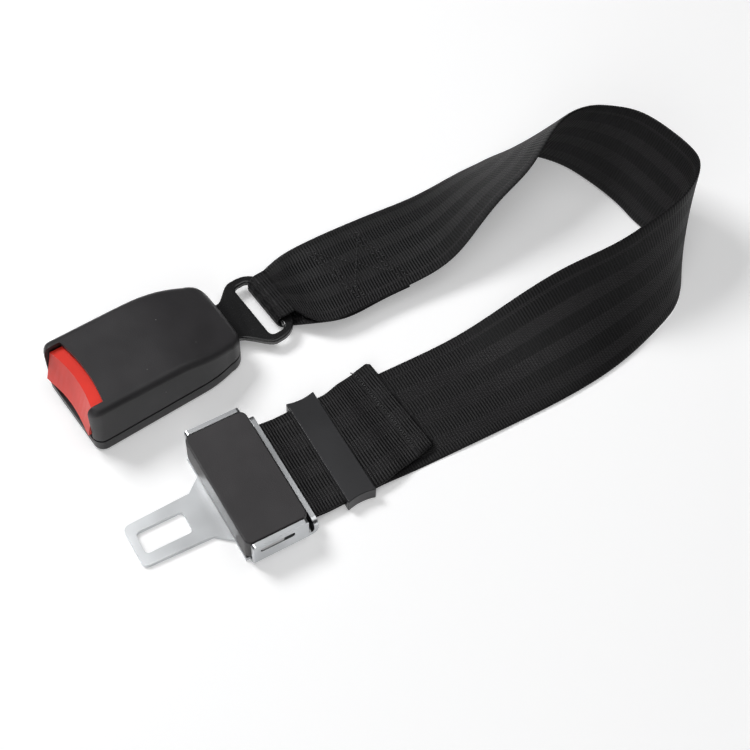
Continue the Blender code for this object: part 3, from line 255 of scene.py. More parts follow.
def handling_group() -> NodeTree:
    """Traces of handling: single specks of dust and thin straight scuffs.

    Returns:
        A group that turns a place into Dust and Scuff masks.
    """
    sheet, given, out = new_group("handling", {"Vector": VECTOR}, ("Dust", "Scuff"))
    place = given.outputs["Vector"]
    cells = sheet.add("ShaderNodeTexVoronoi", {"Vector": place, "Scale": DUST_SCALE})
    chosen = sheet.add("ShaderNodeSeparateColor", {"Color": cells.outputs["Color"]}).outputs[0]
    near = sheet.maths("LESS_THAN", cells.outputs["Distance"], DUST_RADIUS)
    dust = sheet.maths("MULTIPLY", near, sheet.maths("GREATER_THAN", chosen, DUST_ABSENT))
    turned = {
        "Vector": place,
        "Rotation": (0.0, 0.0, SCUFF_TURN),
        "Scale": (1.0, SCUFF_STRETCH, SCUFF_STRETCH),
    }
    streak = sheet.add("ShaderNodeMapping", turned).outputs[0]
    lines = sheet.add("ShaderNodeTexNoise", {"Vector": streak, "Scale": SCUFF_SCALE, "Detail": 4.0})
    scuff = sheet.ramp(lines.outputs[0], *SCUFF_EDGES)
    sheet.fill(out, {"Dust": dust, "Scuff": scuff})
    return sheet.tree


def weave_group() -> NodeTree:
    """Webbing weave from the cloth's own map, across in x and along in y, in centimetres.

    Ribs are a wave along the length. Three lengthwise bands float above them as rows of small
    pebbles, a wave along times a wave across that is shifted from row to row. Shade is a slow
    random fade times painted shade, darker where the weave is low, in its grooves.

    Returns:
        A group that turns the map into Height, Band and Shade.
    """
    inputs = {"Map": VECTOR, "Rib": VALUE}
    sheet, given, out = new_group("webbing_weave", inputs, ("Height", "Band", "Shade"))
    maths, ramp = sheet.maths, sheet.ramp
    place = sheet.add("ShaderNodeSeparateXYZ", {"Vector": given.outputs["Map"]})
    across, along = place.outputs[0], place.outputs[1]
    turn = maths("MULTIPLY", maths("DIVIDE", along, given.outputs["Rib"]), 2 * math.pi)
    half_turn = maths("MULTIPLY", turn, 0.5)
    rib = maths("MULTIPLY_ADD", maths("SINE", turn), 0.5, 0.5)
    folded = maths("PINGPONG", maths("ADD", across, BAND_SHIFT), BAND_REPEAT)
    band = ramp(folded, *BAND_EDGES)
    edge = maths("ABSOLUTE", maths("SUBTRACT", across, CLOTH_MIDDLE))
    inside = maths("SUBTRACT", 1.0, ramp(edge, *BAND_REACH))
    band = maths("MULTIPLY", band, inside)
    cross = maths("MULTIPLY_ADD", across, 2 * math.pi / PEBBLE_PITCH, half_turn)
    pebble = maths("MULTIPLY", maths("SINE", cross), maths("COSINE", half_turn))
    pebble = maths("MULTIPLY_ADD", pebble, 0.5, 0.5)
    yarns = maths("SINE", maths("MULTIPLY", across, 2 * math.pi / YARN_PITCH))
    ribbed = maths("MULTIPLY", rib, 1.0 - YARN_SHARE)
    plain = maths("MULTIPLY_ADD", yarns, YARN_SHARE, ribbed)
    height = sheet.add("ShaderNodeMix", {0: band, 2: plain, 3: pebble}).outputs[0]
    drift = {"Vector": given.outputs["Map"], "Scale": FADE_SCALE, "Detail": 4.0}
    slow = sheet.add("ShaderNodeTexNoise", drift)
    shade = maths("MULTIPLY_ADD", slow.outputs[0], FADE_DEPTH, FADE_BASE)
    # Painted shade: the colour is darker where the weave is low, in its grooves, times the slow random
    # fade above
    painted_groove_shade = maths("MULTIPLY_ADD", height, RIB_PAINTED_SHADE, RIB_PAINTED_SHADE_BASE)
    shade = maths("MULTIPLY", shade, painted_groove_shade)
    sheet.fill(out, {"Height": height, "Band": band, "Shade": shade})
    return sheet.tree


def new_material(name: str) -> tuple:
    """Start a material.

    Args:
        name: the material's name.

    Returns:
        The material, its sheet and its Principled shader.
    """
    material = bpy.data.materials.new(name)
    material.use_nodes = True
    return material, Sheet(material.node_tree), material.node_tree.nodes["Principled BSDF"]


@dataclass
class Effects:
    """Node groups that several finishes share."""

    grain: NodeTree = field(default_factory=grain_group)
    handling: NodeTree = field(default_factory=handling_group)
    weave: NodeTree = field(default_factory=weave_group)


@dataclass(frozen=True)
class Solid:
    """Finish of a moulded, plated, painted or bare steel piece."""

    name: str
    colour: Triple
    roughness: float
    metallic: float = 0.0
    grain: Grain = Grain.SPARK
    grain_depth: float = 0.02
    dust: float = 0.5
    scuff: float = 0.1
    specular: float = 0.5
    coat: float = 0.0
    coat_roughness: float = 0.08
    gloss_drift: float = 0.5

    def make(self, effects: Effects) -> Material:
        """Build the material: grained, with its shade drifting slowly, dusted and lightly scuffed.

        Args:
            effects: the shared node groups.

        Returns:
            The material.
        """
        material, sheet, shader = new_material(self.name)
        place = sheet.add("ShaderNodeTexCoord").outputs["Object"]
        grained = {"Vector": place, "Scale": 1.0 / (self.grain.value * MM)}
        grain = sheet.add("ShaderNodeGroup", grained, node_tree=effects.grain).outputs
        traces = sheet.add("ShaderNodeGroup", {"Vector": place}, node_tree=effects.handling).outputs
        dark = tuple(c * SHADE_LOW for c in self.colour) + (1.0,)
        light = tuple(min(1.0, c * SHADE_HIGH) for c in self.colour) + (1.0,)
        colour = sheet.tint(sheet.ramp(grain["Shade"], *SHADE_EDGES), dark, light)
        dust = sheet.maths("MULTIPLY", traces["Dust"], self.dust)
        rough = sheet.maths("MULTIPLY_ADD", traces["Scuff"], self.scuff, self.roughness)
        rough = sheet.maths("MULTIPLY_ADD", grain["Gloss"], self.gloss_drift, rough, clamp=True)
        looks = {
            "Base Color": sheet.tint(dust, colour, DUST_COLOUR),
            "Roughness": rough,
            "Normal": sheet.bump(grain["Height"], self.grain_depth),
            "Metallic": self.metallic,
            "Specular IOR Level": self.specular,
            "Coat Weight": self.coat,
            "Coat Roughness": self.coat_roughness,
        }
        sheet.fill(shader, looks)
        return material


@dataclass(frozen=True)
class Cloth:
    """Finish of the woven webbing."""

    name: str = "webbing_cloth"
    rib_colour: Triple = (0.0086, 0.0082, 0.0089)
    # The bands are lighter than the ribs as painted sheen of their floating yarns
    band_colour_with_painted_sheen: Triple = (0.0145, 0.0138, 0.0147)
    rib_pitch: float = 0.128
    depth: float = 0.15
    roughness: float = 0.5
    band_gloss: float = 0.05
    specular: float = 0.21
    sheen: float = 0.01
    sheen_roughness: float = 0.4

    def make(self, effects: Effects) -> Material:
        """Build the cloth from the weave group: ribs with painted shade in their grooves, shinier
        pebbled bands whose lighter colour is painted sheen, and a dull sheen.

        Args:
            effects: the shared node groups.

        Returns:
            The material.
        """
        material, sheet, shader = new_material(self.name)
        woven = {"Map": sheet.add("ShaderNodeUVMap", uv_map="cloth").outputs[0], "Rib": self.rib_pitch}
        weave = sheet.add("ShaderNodeGroup", woven, node_tree=effects.weave).outputs
        # The bands' lighter colour is painted sheen
        base = sheet.tint(weave["Band"], (*self.rib_colour, 1.0), (*self.band_colour_with_painted_sheen, 1.0))
        # Shade carries a slow random fade and the painted shade of the weave's grooves
        channels = {name: weave["Shade"] for name in ("Red", "Green", "Blue")}
        fade_and_painted_shade = sheet.add("ShaderNodeCombineColor", channels).outputs[0]
        layers = {0: 1.0, 6: base, 7: fade_and_painted_shade}
        shaded = sheet.add("ShaderNodeMix", layers, data_type="RGBA", blend_type="MULTIPLY")
        looks = {
            "Base Color": shaded.outputs[2],
            "Roughness": sheet.maths("MULTIPLY_ADD", weave["Band"], -self.band_gloss, self.roughness),
            "Normal": sheet.bump(weave["Height"], self.depth),
            "Specular IOR Level": self.specular,
            "Sheen Weight": self.sheen,
            "Sheen Roughness": self.sheen_roughness,
        }
        sheet.fill(shader, looks)
        return material


def add_object(name: str, data: ID) -> Object:
    """Put a mesh, a light or a camera into the scene.

    Args:
        name: the object's name.
        data: what it shows.

    Returns:
        The object.
    """
    thing = bpy.data.objects.new(name, data)
    bpy.context.scene.collection.objects.link(thing)
    return thing


def grid_faces(rows: int, columns: int) -> np.ndarray:
    """Faces of a tube of points, row by row, the last column joined to the first.

    Args:
        rows: number of rows.
        columns: points in a row.

    Returns:
        An array of four point numbers a face.
    """
    row, column = np.meshgrid(np.arange(rows - 1), np.arange(columns), indexing="ij")
    beside = (column + 1) % columns
    low, high = row * columns, (row + 1) * columns
    return np.stack([low + column, low + beside, high + beside, high + column], -1).reshape(-1, 4)


def shaded_object(name: str, mesh: Mesh, sharp: float | None, join: bool = False) -> Object:
    """Turn a mesh's faces outwards, shade it smooth and put it into the scene.

    Args:
        name: the object's name.
        mesh: its mesh.
        sharp: angle in degrees over which edges stay sharp, if any.
        join: also join loose triangles into flat faces.

    Returns:
        The object.
    """
    work = bmesh.new()
    work.from_mesh(mesh)
    if join:
        bmesh.ops.remove_doubles(work, verts=work.verts, dist=MERGE_DISTANCE)
        bmesh.ops.dissolve_limit(work, angle_limit=FLAT_ANGLE, verts=work.verts, edges=work.edges)
    bmesh.ops.recalc_face_normals(work, faces=work.faces)
    work.to_mesh(mesh)
    work.free()
    mesh.shade_smooth()
    if sharp is not None:
        mesh.set_sharp_from_angle(angle=math.radians(sharp))
    return add_object(name, mesh)


def mesh_object(name: str, points: np.ndarray, faces: list, sharp: float | None = None) -> Object:
    """Make an object at the origin from points and faces.

    Args:
        name: the object's name.
        points: places in metres, one row each.
        faces: lists of point numbers.
        sharp: angle in degrees over which edges stay sharp, if any.

    Returns:
        The object.
    """
    mesh = bpy.data.meshes.new(name)
    mesh.from_pydata(points.reshape(-1, 3), [], faces)
    return shaded_object(name, mesh, sharp)


def unit(rows: np.ndarray) -> np.ndarray:
    """Scale vectors to length 1.

    Args:
        rows: one vector a row.

    Returns:
        The unit vectors.
    """
    return rows / np.linalg.norm(rows, axis=1)[:, None]


def length_along(points: np.ndarray) -> np.ndarray:
    """Length of the way from the first point to each point.

    Args:
        points: one place a row.

    Returns:
        One length a point.
    """
    spans = np.linalg.norm(np.diff(points, axis=0), axis=1)
    return np.concatenate([[0.0], np.cumsum(spans)])


def circle(sides: int) -> tuple[np.ndarray, np.ndarray]:
    """Cosine and sine of evenly spaced angles, shaped to multiply rows of places.

    Args:
        sides: number of angles.

    Returns:
        The cosines and the sines.
    """
    turn = np.linspace(0.0, 2 * np.pi, sides, endpoint=False)[None, :, None]
    return np.cos(turn), np.sin(turn)


def cubic_through(points: np.ndarray, step: float) -> np.ndarray:
    """Natural cubic curve through points, by distance along them.

    Args:
        points: rows whose first three columns are places; every column is carried along.
        step: distance between samples, in the points' own unit.

    Returns:
        The sampled rows.
    """
    spans = np.linalg.norm(np.diff(points[:, :3], axis=0), axis=1)
    knots = length_along(points[:, :3])
    slopes = np.diff(points, axis=0) / spans[:, None]
    inner = np.diag(2 * (spans[:-1] + spans[1:]))
    inner = inner + np.diag(spans[1:-1], 1) + np.diag(spans[1:-1], -1)
    bend = np.zeros_like(points)
    bend[1:-1] = np.linalg.solve(inner, 6 * np.diff(slopes, axis=0))
    s = np.linspace(0.0, knots[-1], max(2, int(round(knots[-1] / step)) + 1))
    i = np.clip(np.searchsorted(knots, s, side="right") - 1, 0, len(points) - 2)
    h = spans[i][:, None]
    a = (knots[i + 1] - s)[:, None] / h
    b = (s - knots[i])[:, None] / h
    curve = ((a**3 - a) * bend[i] + (b**3 - b) * bend[i + 1]) * h**2 / 6
    return a * points[i] + b * points[i + 1] + curve


def arc_points(centre: Pair, radius: float, start: float, end: float, steps: int) -> np.ndarray:
    """Points on an arc: centre plus radius times cosine and sine of the angle.

    Args:
        centre: the arc's centre.
        radius: its radius.
        start: first angle, in degrees.
        end: last angle, in degrees.
        steps: number of steps from the first to the last point.

    Returns:
        The points, two numbers each.
    """
    angle = np.radians(np.linspace(start, end, steps + 1))
    return np.column_stack([centre[0] + radius * np.cos(angle), centre[1] + radius * np.sin(angle)])


def smoothstep(value: np.ndarray) -> np.ndarray:
    """Rise smoothly from 0 to 1 as the value goes from 0 to 1, by 3 t squared less 2 t cubed.

    Args:
        value: the values.

    Returns:
        The smooth values.
    """
    t = np.clip(value, 0.0, 1.0)
    return t * t * (3 - 2 * t)


def thread_mesh(
    name: str, starts: np.ndarray, ends: np.ndarray, lift: np.ndarray, radius: float
) -> Object:
    """Make many short stitches, each a thread that bows out of the cloth between two needle holes.

    A point of a stitch is start + t (end - start) + lift sin(pi t) + a circle of the thread's
    radius, which shrinks to a point at both ends.

    Args:
        name: the object's name.
        starts: first holes.
        ends: second holes.
        lift: how far each stitch's middle stands above the line between its holes.
        radius: the thread's radius.

    Returns:
        The object with all stitches.
    """
    rings, sides = 7, 6
    t = np.linspace(0.0, 1.0, rings)
    along = ends - starts
    up = unit(lift)
    side = np.cross(up, unit(along))
    middle = starts[:, None] + along[:, None] * t[None, :, None]
    middle = middle + lift[:, None] * np.sin(np.pi * t)[None, :, None]
    cosine, sine = circle(sides)
    tip, swell = 0.04, 2.2
    size = radius * np.clip(np.sin(np.pi * np.clip(t, tip, 1.0 - tip)) * swell, 0.0, 1.0)
    rim = cosine * side[:, None] + sine * up[:, None]
    points = middle[:, :, None] + rim[:, None] * size[None, :, None, None]
    one = grid_faces(rings, sides)
    offset = (np.arange(len(starts)) * rings * sides)[:, None, None]
    faces = (one[None] + offset).reshape(-1, 4).tolist()
    caps = np.array([np.arange(sides), np.arange(sides) + (rings - 1) * sides])
    faces += (caps[None] + offset).reshape(-1, sides).tolist()
    return mesh_object(name, points, faces)


def tube_mesh(name: str, path: np.ndarray, radius: float) -> Object:
    """Carry a circle along a path, with its side taken from the path's turn away from upright.

    Args:
        name: the object's name.
        path: places along the tube.
        radius: the tube's radius.

    Returns:
        The closed tube.
    """
    sides, upright = 8, (0.13, 0.21, 0.97)
    along = unit(np.gradient(path, axis=0))
    side = unit(np.cross(along, upright))
    over = np.cross(side, along)
    cosine, sine = circle(sides)
    points = path[:, None] + (cosine * side[:, None] + sine * over[:, None]) * radius
    faces = grid_faces(len(path), sides).tolist()
    faces += [list(range(sides)), list(range(len(path) * sides - sides, len(path) * sides))]
    return mesh_object(name, points, faces)


def dress_node(node: str, material: Material) -> None:
    """Give a node of the frame its material, through its material slots.

    Args:
        node: the node's name.
        material: its finish.
    """
    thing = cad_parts[node]
    if not thing.material_slots:
        thing.data.materials.append(material)
    for place in thing.material_slots:
        place.link = "OBJECT"
        place.material = material
    log.info("%s dressed with %s", node, material.name)


def joined_copy(node: str, name: str, angle: float = SHARP_DEGREES) -> Object:
    """Copy a node and join its loose triangles into flat faces.

    Args:
        node: the node to copy.
        name: the new piece's name.
        angle: edges sharper than this many degrees stay sharp.

    Returns:
        The new piece.
    """
    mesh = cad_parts[node].data.copy()
    mesh.materials.clear()
    return shaded_object(name, mesh, angle, join=True)


def seat(piece: Object, body: Body, material: Material, replaces: str = "") -> None:
    """Give a new piece its material and its body, and hide the node that it replaces.

    Args:
        piece: the new piece.
        body: the body that it rides on.
        material: its finish.
        replaces: the node that it replaces, if any.
    """
    piece.data.materials.append(material)
    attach(piece, body.value)
    if replaces:
        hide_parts(replaces)
    log.info("%s rides on %s, %d faces", piece.name, body.value, len(piece.data.polygons))


@dataclass(frozen=True)
class Rounding:
    """Rounding of a piece's edges: its width, its steps, and the angle over which edges get it."""

    width: float
    steps: int = 3
    angle: float = SHARP_DEGREES

    def apply(self, node: str, name: str, body: Body, material: Material) -> None:
        """Put a copy with rounded edges in a node's place, its wide faces kept flat in the shading.

        Args:
            node: the node to copy, which the copy replaces.
            name: the new piece's name.
            body: the body that it rides on.
            material: its finish.
        """
        thing = joined_copy(node, name, self.angle)
        bevel = thing.modifiers.new("rounding", "BEVEL")
        bevel.width = self.width
        bevel.segments = self.steps
        bevel.limit_method = "ANGLE"
        bevel.angle_limit = math.radians(self.angle)
        shading = thing.modifiers.new("flat_faces", "WEIGHTED_NORMAL")
        shading.keep_sharp = True
        shading.weight = FLAT_WEIGHT
        seat(thing, body, material, node)


# Free run of the webbing, in mm: lower edge x, y, z and upper edge x, y, z
FREE_RUN = (
    (60.0, -23.7, 1.1, 60.0, 24.3, 1.1), (88.0, -24.3, 0.8, 88.2, 23.7, 0.8),
    (114.3, -24.7, 0.8, 114.8, 23.3, 3.0), (138.3, -24.5, 0.9, 137.2, 21.8, 12.8),
    (167.9, -21.2, 1.0, 160.0, 15.1, 31.5), (192.7, -14.0, 1.0, 181.4, 9.3, 42.6),
    (206.5, -7.4, 0.8, 198.0, 10.4, 45.3), (216.0, 3.0, 0.8, 214.5, 13.4, 46.8),
    (221.0, 18.0, 0.7, 230.5, 23.0, 46.5), (217.1, 35.3, 0.7, 234.3, 33.5, 46.0),
    (215.7, 49.1, 0.7, 231.8, 48.0, 46.0), (213.3, 61.7, 0.7, 227.8, 58.5, 46.4),
    (209.9, 73.0, 0.7, 222.9, 65.5, 46.3), (205.5, 82.9, 0.7, 217.0, 71.5, 45.3),
    (196.0, 94.3, 0.7, 209.5, 77.2, 42.9), (188.0, 99.5, 0.7, 199.0, 77.3, 41.8),
    (180.5, 101.4, 0.7, 186.8, 72.3, 38.5), (172.0, 101.3, 0.7, 174.1, 66.1, 33.4),
    (162.0, 101.0, 0.7, 159.7, 62.1, 28.5), (151.0, 100.0, 0.7, 146.4, 57.9, 23.3),
    (136.0, 98.8, 0.9, 130.4, 53.1, 14.8), (112.5, 98.7, 2.1, 106.5, 51.8, 10.0),
    (98.3, 98.9, 2.3, 91.5, 51.9, 9.3), (80.3, 98.7, 2.3, 74.1, 51.5, 9.2),
    (66.5, 97.0, 2.5, 63.0, 55.0, 9.0),
)

# Places over half the webbing's section, in half widths
HALF_SECTION = (0.25, 0.5, 0.75, 0.9, 0.97, 0.994, 1.0)

# Middle line of the hem's zigzag and lines of the sewing at the eye, in plan, in mm
HEM_LINE = ((65.0, 27.5), (65.8, 17.0), (67.0, 5.5), (68.2, -8.0), (68.6, -14.0))
BOX_LINES = {
    "bar_tack_a": ((78.2, 92.6), (84.2, 56.5)),
    "bar_tack_b": ((80.6, 92.0), (86.8, 56.5)),
    "bar_tack_c": ((99.4, 92.6), (105.4, 54.5)),
    "bar_tack_d": ((102.2, 92.0), (108.0, 56.0)),
    "box_diagonal_a": ((82.0, 88.0), (104.0, 62.0)),
    "box_diagonal_b": ((85.4, 62.5), (100.8, 87.5)),
}


# Cut ends of thread at the hem: start, reach and curl in mm, and turns of the curl
LOOSE_THREADS = (
    ((64.4, 26.6, 3.6), (-0.54, 1.8, 0.216), (0.2, 0.0, 0.15), 1.2),
    ((65.6, 26.6, 3.6), (0.45, 1.5, 0.18), (0.36, 0.0, 0.27), 0.7),
)


@dataclass
class Strap:
    """Webbing from the folded tail round the lock bar, the loop and the anchor eye, with its sewing.

    Lengths are in millimetres. Of a stitch, the first number is its length along the line and the
    second is how far each hole is off the line, to its two sides in turn.
    """

    width: float = 48.0
    thickness: float = 1.2
    hem_thickness: float = 2.6
    hem_length: float = 8.5
    tail_x: float = 75.1
    tail_drift: float = 5.9
    skew: float = math.radians(5.0)
    bar_turn: Pair = (-7.5, 11.0)
    bar_radius: float = 1.9
    bar_strand_x: Pair = (-0.55, 6.4)
    strand_sag: float = 1.6
    lip_x: Pair = (13.9, 17.4)
    keeper_x: float = 38.4
    keeper_half: float = 6.4
    keeper_travel: float = 4.0
    buckle_place: Pair = (-8.95, 70.2)
    buckle_yaw: float = math.radians(5.83)
    eye_u: float = 61.0
    eye_z: float = 5.5
    eye_radius: float = 4.254
    fold_length: float = 4.0
    bunch_width: float = 22.4
    bunch_flare: float = 2.6
    bunch_drift: float = 0.3
    sewn_drop: float = 1.5
    tail_z: float = 4.3
    hem_step_z: float = 2.95
    lip_z: Pair = (5.0, 3.5)
    strand_z: float = 2.8
    under_z: float = 0.1
    layer_gap: float = 0.3
    keeper_lead: float = 9.0
    tail_bend: float = 12.0
    spacing: float = 0.4
    rib: float = 1.28
    rib_height: float = 0.07
    samples_per_rib: int = 6
    selvedge_power: int = 60
    selvedge_end: float = 0.3
    selvedge_wave: float = 0.0016
    hem_slope: float = 2.4
    end_fade: Pair = (1.5, 0.25)
    end_corner: Pair = (2.2, 0.05)
    needle_zone: Triple = (4.0, 3.0, 1.2)
    pucker_span: Triple = (34.0, 30.0, 5.0)
    pucker_depth: float = 0.45
    pucker_waves: tuple[tuple[float, ...], ...] = ((0.55, 3.2, 0.0), (0.45, 7.4, 0.8))
    thread: float = 0.24
    thread_lift: float = 1.1
    stitch_gap: float = 0.08
    hem_stitch: Pair = (1.15, 1.25)
    bar_stitch: Pair = (1.5, 0.75)
    diagonal_stitch: Pair = (1.5, 0.25)
    hem_reach: Pair = (0.0, 16.0)
    box_reach: Pair = (75.0, 8.0)
    middle: np.ndarray = field(init=False)
    half: np.ndarray = field(init=False)
    normal: np.ndarray = field(init=False)
    along: np.ndarray = field(init=False)
    eye_along: float = field(init=False)

    def tail_rows(self) -> np.ndarray:
        """Places and half widths of the tail and of the strand up to the lock bar.

        Returns:
            Rows of place and half width, in millimetres.
        """
        hem_z = self.under_z + self.thickness * 1.5 + self.layer_gap
        hem_z = hem_z + (self.hem_thickness - self.thickness) / 2
        bar_z = self.bar_turn[1] + self.bar_radius
        rear, front = self.keeper_x + self.keeper_half, self.keeper_x - self.keeper_half
        hem_x = self.tail_x - self.hem_length
        free_x = rear + self.keeper_travel
        slope = self.tail_drift / (self.tail_x - free_x)
        bent = [(hem_x + 1.0, hem_z + 0.1), (hem_x - 1.0, self.hem_step_z)]
        bent += [(rear + self.tail_bend, self.tail_z)]
        level = (free_x, rear, self.keeper_x, front, front - self.keeper_lead)
        straight = [(x, self.tail_z) for x in level]
        straight += [(x, self.lip_z[0]) for x in self.lip_x[::-1]]
        straight += [(x, bar_z) for x in (*self.bar_strand_x[::-1], self.bar_turn[0])]
        points = [(self.tail_x, self.tail_drift, hem_z + 0.2)]
        points += [(x, slope * (x - free_x), z) for x, z in bent]
        points += [(x, 0.0, z) for x, z in straight]
        places = cubic_through(np.array(points), self.spacing)
        past = (places[:, 0] - self.keeper_x) / (hem_x - self.keeper_x)
        lean = self.skew * np.clip(past, 0.0, 1.0)
        side = np.column_stack([-np.sin(lean), np.cos(lean), np.zeros(len(lean))])
        return np.hstack([places, side * self.width / 2])

    def eye_rows(self) -> np.ndarray:
        """Places and half widths of the turn round the eye's bar, where the webbing is bunched.

        Returns:
            Rows of place and half width, in millimetres.
        """
        c, s = math.cos(self.buckle_yaw), math.sin(self.buckle_yaw)
        turn = arc_points((self.eye_u, self.eye_z), self.eye_radius, 90, 270, 40)
        turn = np.vstack([[self.eye_u + self.fold_length, self.eye_z + self.eye_radius], turn])
        spread = ((turn[:, 1] - self.eye_z) / self.eye_radius) ** 2
        u, v = turn[:, 0], -self.bunch_drift * spread
        x = self.buckle_place[0] + u * c - v * s
        y = self.buckle_place[1] + u * s + v * c
        width = self.bunch_width + self.bunch_flare * spread
        side = np.array([s, -c, 0.0])[None] * (width / 2)[:, None]
        return np.hstack([np.column_stack([x, y, turn[:, 1]]), side])

    def level(self, places: np.ndarray) -> np.ndarray:
        """Add to each place the half width of webbing that lies level across the strap.

        Args:
            places: rows of x, y and z.

        Returns:
            Rows of place and half width.
        """
        straight = np.array([0.0, self.width / 2, 0.0])
        return np.hstack([places, np.tile(straight, (len(places), 1))])

    def route(self) -> None:
        """Work out the whole run at even steps: middle, half width, normal and length so far."""
        tail = self.tail_rows()
        wrap = arc_points(self.bar_turn, self.bar_radius, 90, 270, 24)[1:-1]
        wrap = np.column_stack([wrap[:, 0], np.zeros(len(wrap)), wrap[:, 1]])
        low = self.bar_turn[1] - self.bar_radius
        strand = [
            (self.bar_turn[0], 0.0, low),
            (self.bar_strand_x[0], 0.0, low - self.strand_sag / 4),
            (self.bar_strand_x[1], 0.0, low - self.strand_sag),
        ]
        strand += [(x, 0.0, self.lip_z[1]) for x in self.lip_x]
        half = self.keeper_half
        beside = (-half - self.keeper_lead, -half, 0.0, half, half + self.keeper_travel)
        strand += [(self.keeper_x + x, 0.0, self.strand_z) for x in beside]
        free = np.array(FREE_RUN)
        free = np.hstack([(free[:, :3] + free[:, 3:]) / 2, (free[:, 3:] - free[:, :3]) / 2])
        loop = self.eye_rows()
        run = np.vstack([self.level(np.array(strand)), free, loop[:1]])
        run = cubic_through(run, self.spacing)
        sewn = free[-4:][::-1] - np.array([0.0, 0.0, self.sewn_drop, 0.0, 0.0, 0.0])
        under = cubic_through(np.vstack([loop[-1:], sewn]), self.spacing)[1:]
        rows = np.vstack([tail, self.level(wrap), run, loop[1:], under])
        length = length_along(rows[:, :3])
        self.eye_along = float(length[len(tail) + len(wrap) + len(run) - 1])
        step = self.rib / self.samples_per_rib
        s = np.arange(0.0, length[-1], step)
        rows = np.column_stack([np.interp(s, length, rows[:, k]) for k in range(6)])
        self.along, self.middle, self.half = s, rows[:, :3], rows[:, 3:]
        self.normal = unit(np.cross(np.gradient(self.middle, axis=0), self.half))

    def surface(self, index: np.ndarray, across: np.ndarray) -> tuple[np.ndarray, np.ndarray]:
        """Places on the cloth's upper face, and the direction out of it.

        Args:
            index: station numbers.
            across: from -1 to 1 over the width.

        Returns:
            The places in millimetres and the unit directions.
        """
        normal = self.normal[index]
        normal = normal * np.where(normal[:, 2:] < 0, -1.0, 1.0)
        thick = np.where(self.along[index] < self.hem_length, self.hem_thickness, self.thickness)
        place = self.middle[index] + self.half[index] * across[:, None]
        return place + normal * (thick / 2)[:, None], normal

    def lay_on(self, points: np.ndarray, low: float, high: float) -> tuple[np.ndarray, np.ndarray]:
        """Drop plan points onto the upper face between two lengths along the run.

        Args:
            points: x and y of each point, in millimetres.
            low: length along the run where the search starts.
            high: length along the run where it ends.

        Returns:
            The places on the cloth and the directions out of it.
        """
        chosen = np.flatnonzero((self.along >= low) & (self.along <= high))
        side = self.half[chosen, :2]
        away = points[:, None] - self.middle[chosen, :2][None]
        off = np.abs(away[..., 0] * side[None, :, 1] - away[..., 1] * side[None, :, 0])
        best = off.argmin(axis=1)
        index = chosen[best]
        across = (away[np.arange(len(points)), best] * self.half[index, :2]).sum(axis=1)
        across = across / (self.half[index, :2] ** 2).sum(axis=1)
        return self.surface(index, across)

    def puckers(self, k: np.ndarray) -> np.ndarray:
        """Height of the long wrinkles before the eye, as two cosine waves across the width.

        Args:
            k: places across, from -1 to 1.

        Returns:
            Heights in millimetres, a row a station.
        """
        start, rise, end = self.pucker_span
        before = self.eye_along - self.along
        near_eye = smoothstep((start - before) / rise) * smoothstep(before / end) * (before > 0)
        folds = sum(share * np.cos(turns * np.pi * k + shift) for share, turns, shift in self.pucker_waves)
        return near_eye[:, None] * (self.pucker_depth + self.pucker_depth * folds[None])

    def cloth_mesh(self) -> Object:
        """Carry the webbing's section along its run.

        The section is a flat band with round selvedges. Each point is middle + half width times k
        plus the normal times half the thickness, where the ribs add a wave along the length, the
        selvedge bulges with each rib, and near the eye long wrinkles rise on the upper layer.

        Returns:
            The cloth, with its own map across and along in centimetres.
        """
        half = np.array(HALF_SECTION)
        k = np.concatenate([-half[::-1], [0.0], half])
        edge = np.sqrt(np.clip(1 - np.abs(k) ** self.selvedge_power, 0.0, 1.0))
        edge[[0, -1]] = self.selvedge_end
        s = self.along
        wave = np.cos(2 * np.pi * s / self.rib)
        hem = 1 - smoothstep((s - self.hem_length + self.hem_slope / 2) / self.hem_slope)
        thick = self.thickness + (self.hem_thickness - self.thickness) * hem
        fade_length, thinnest = self.end_fade
        half_thick = thick * np.clip(s / fade_length, thinnest, 1.0) ** 0.5 / 2
        behind, reach, more = self.needle_zone
        needles = np.exp(-(((s - self.hem_length - behind) / reach) ** 2))
        rise = self.rib_height * (1 + more * needles)
        corner_length, taken = self.end_corner
        corner = 1 - taken * np.clip(1 - s / corner_length, 0.0, 1.0) ** 2
        out = (corner + self.selvedge_wave * wave)[:, None] * k[None]
        up = self.normal * np.where(self.normal[:, 2:] < 0, -1.0, 1.0)
        line = self.middle[:, None] + self.half[:, None] * out[..., None]
        line = line + up[:, None] * self.puckers(k)[..., None]
        section = half_thick[:, None] * edge[None] + (rise * wave)[:, None] * edge[None] ** 4
        top = line + self.normal[:, None] * section[..., None]
        low = (line - self.normal[:, None] * section[..., None])[:, ::-1]
        ring = np.concatenate([top, low], axis=1)
        rows, columns = ring.shape[:2]
        faces = grid_faces(rows, columns).tolist()
        faces += [list(range(columns)), list(range((rows - 1) * columns, rows * columns))]
        cloth = mesh_object("webbing_cloth", ring * MM, faces, 55.0)
        across = np.concatenate([(k + 1) / 2, (k[::-1] + 1) / 2]) * self.width / 10
        places = np.stack(np.broadcast_arrays(across[None], (s / 10)[:, None]), -1).reshape(-1, 2)
        corners = np.zeros(len(cloth.data.loops), dtype=np.int32)
        cloth.data.loops.foreach_get("vertex_index", corners)
        chart = cloth.data.uv_layers.new(name="cloth")
        chart.data.foreach_set("uv", places[corners].astype(np.float32).ravel())
        return cloth

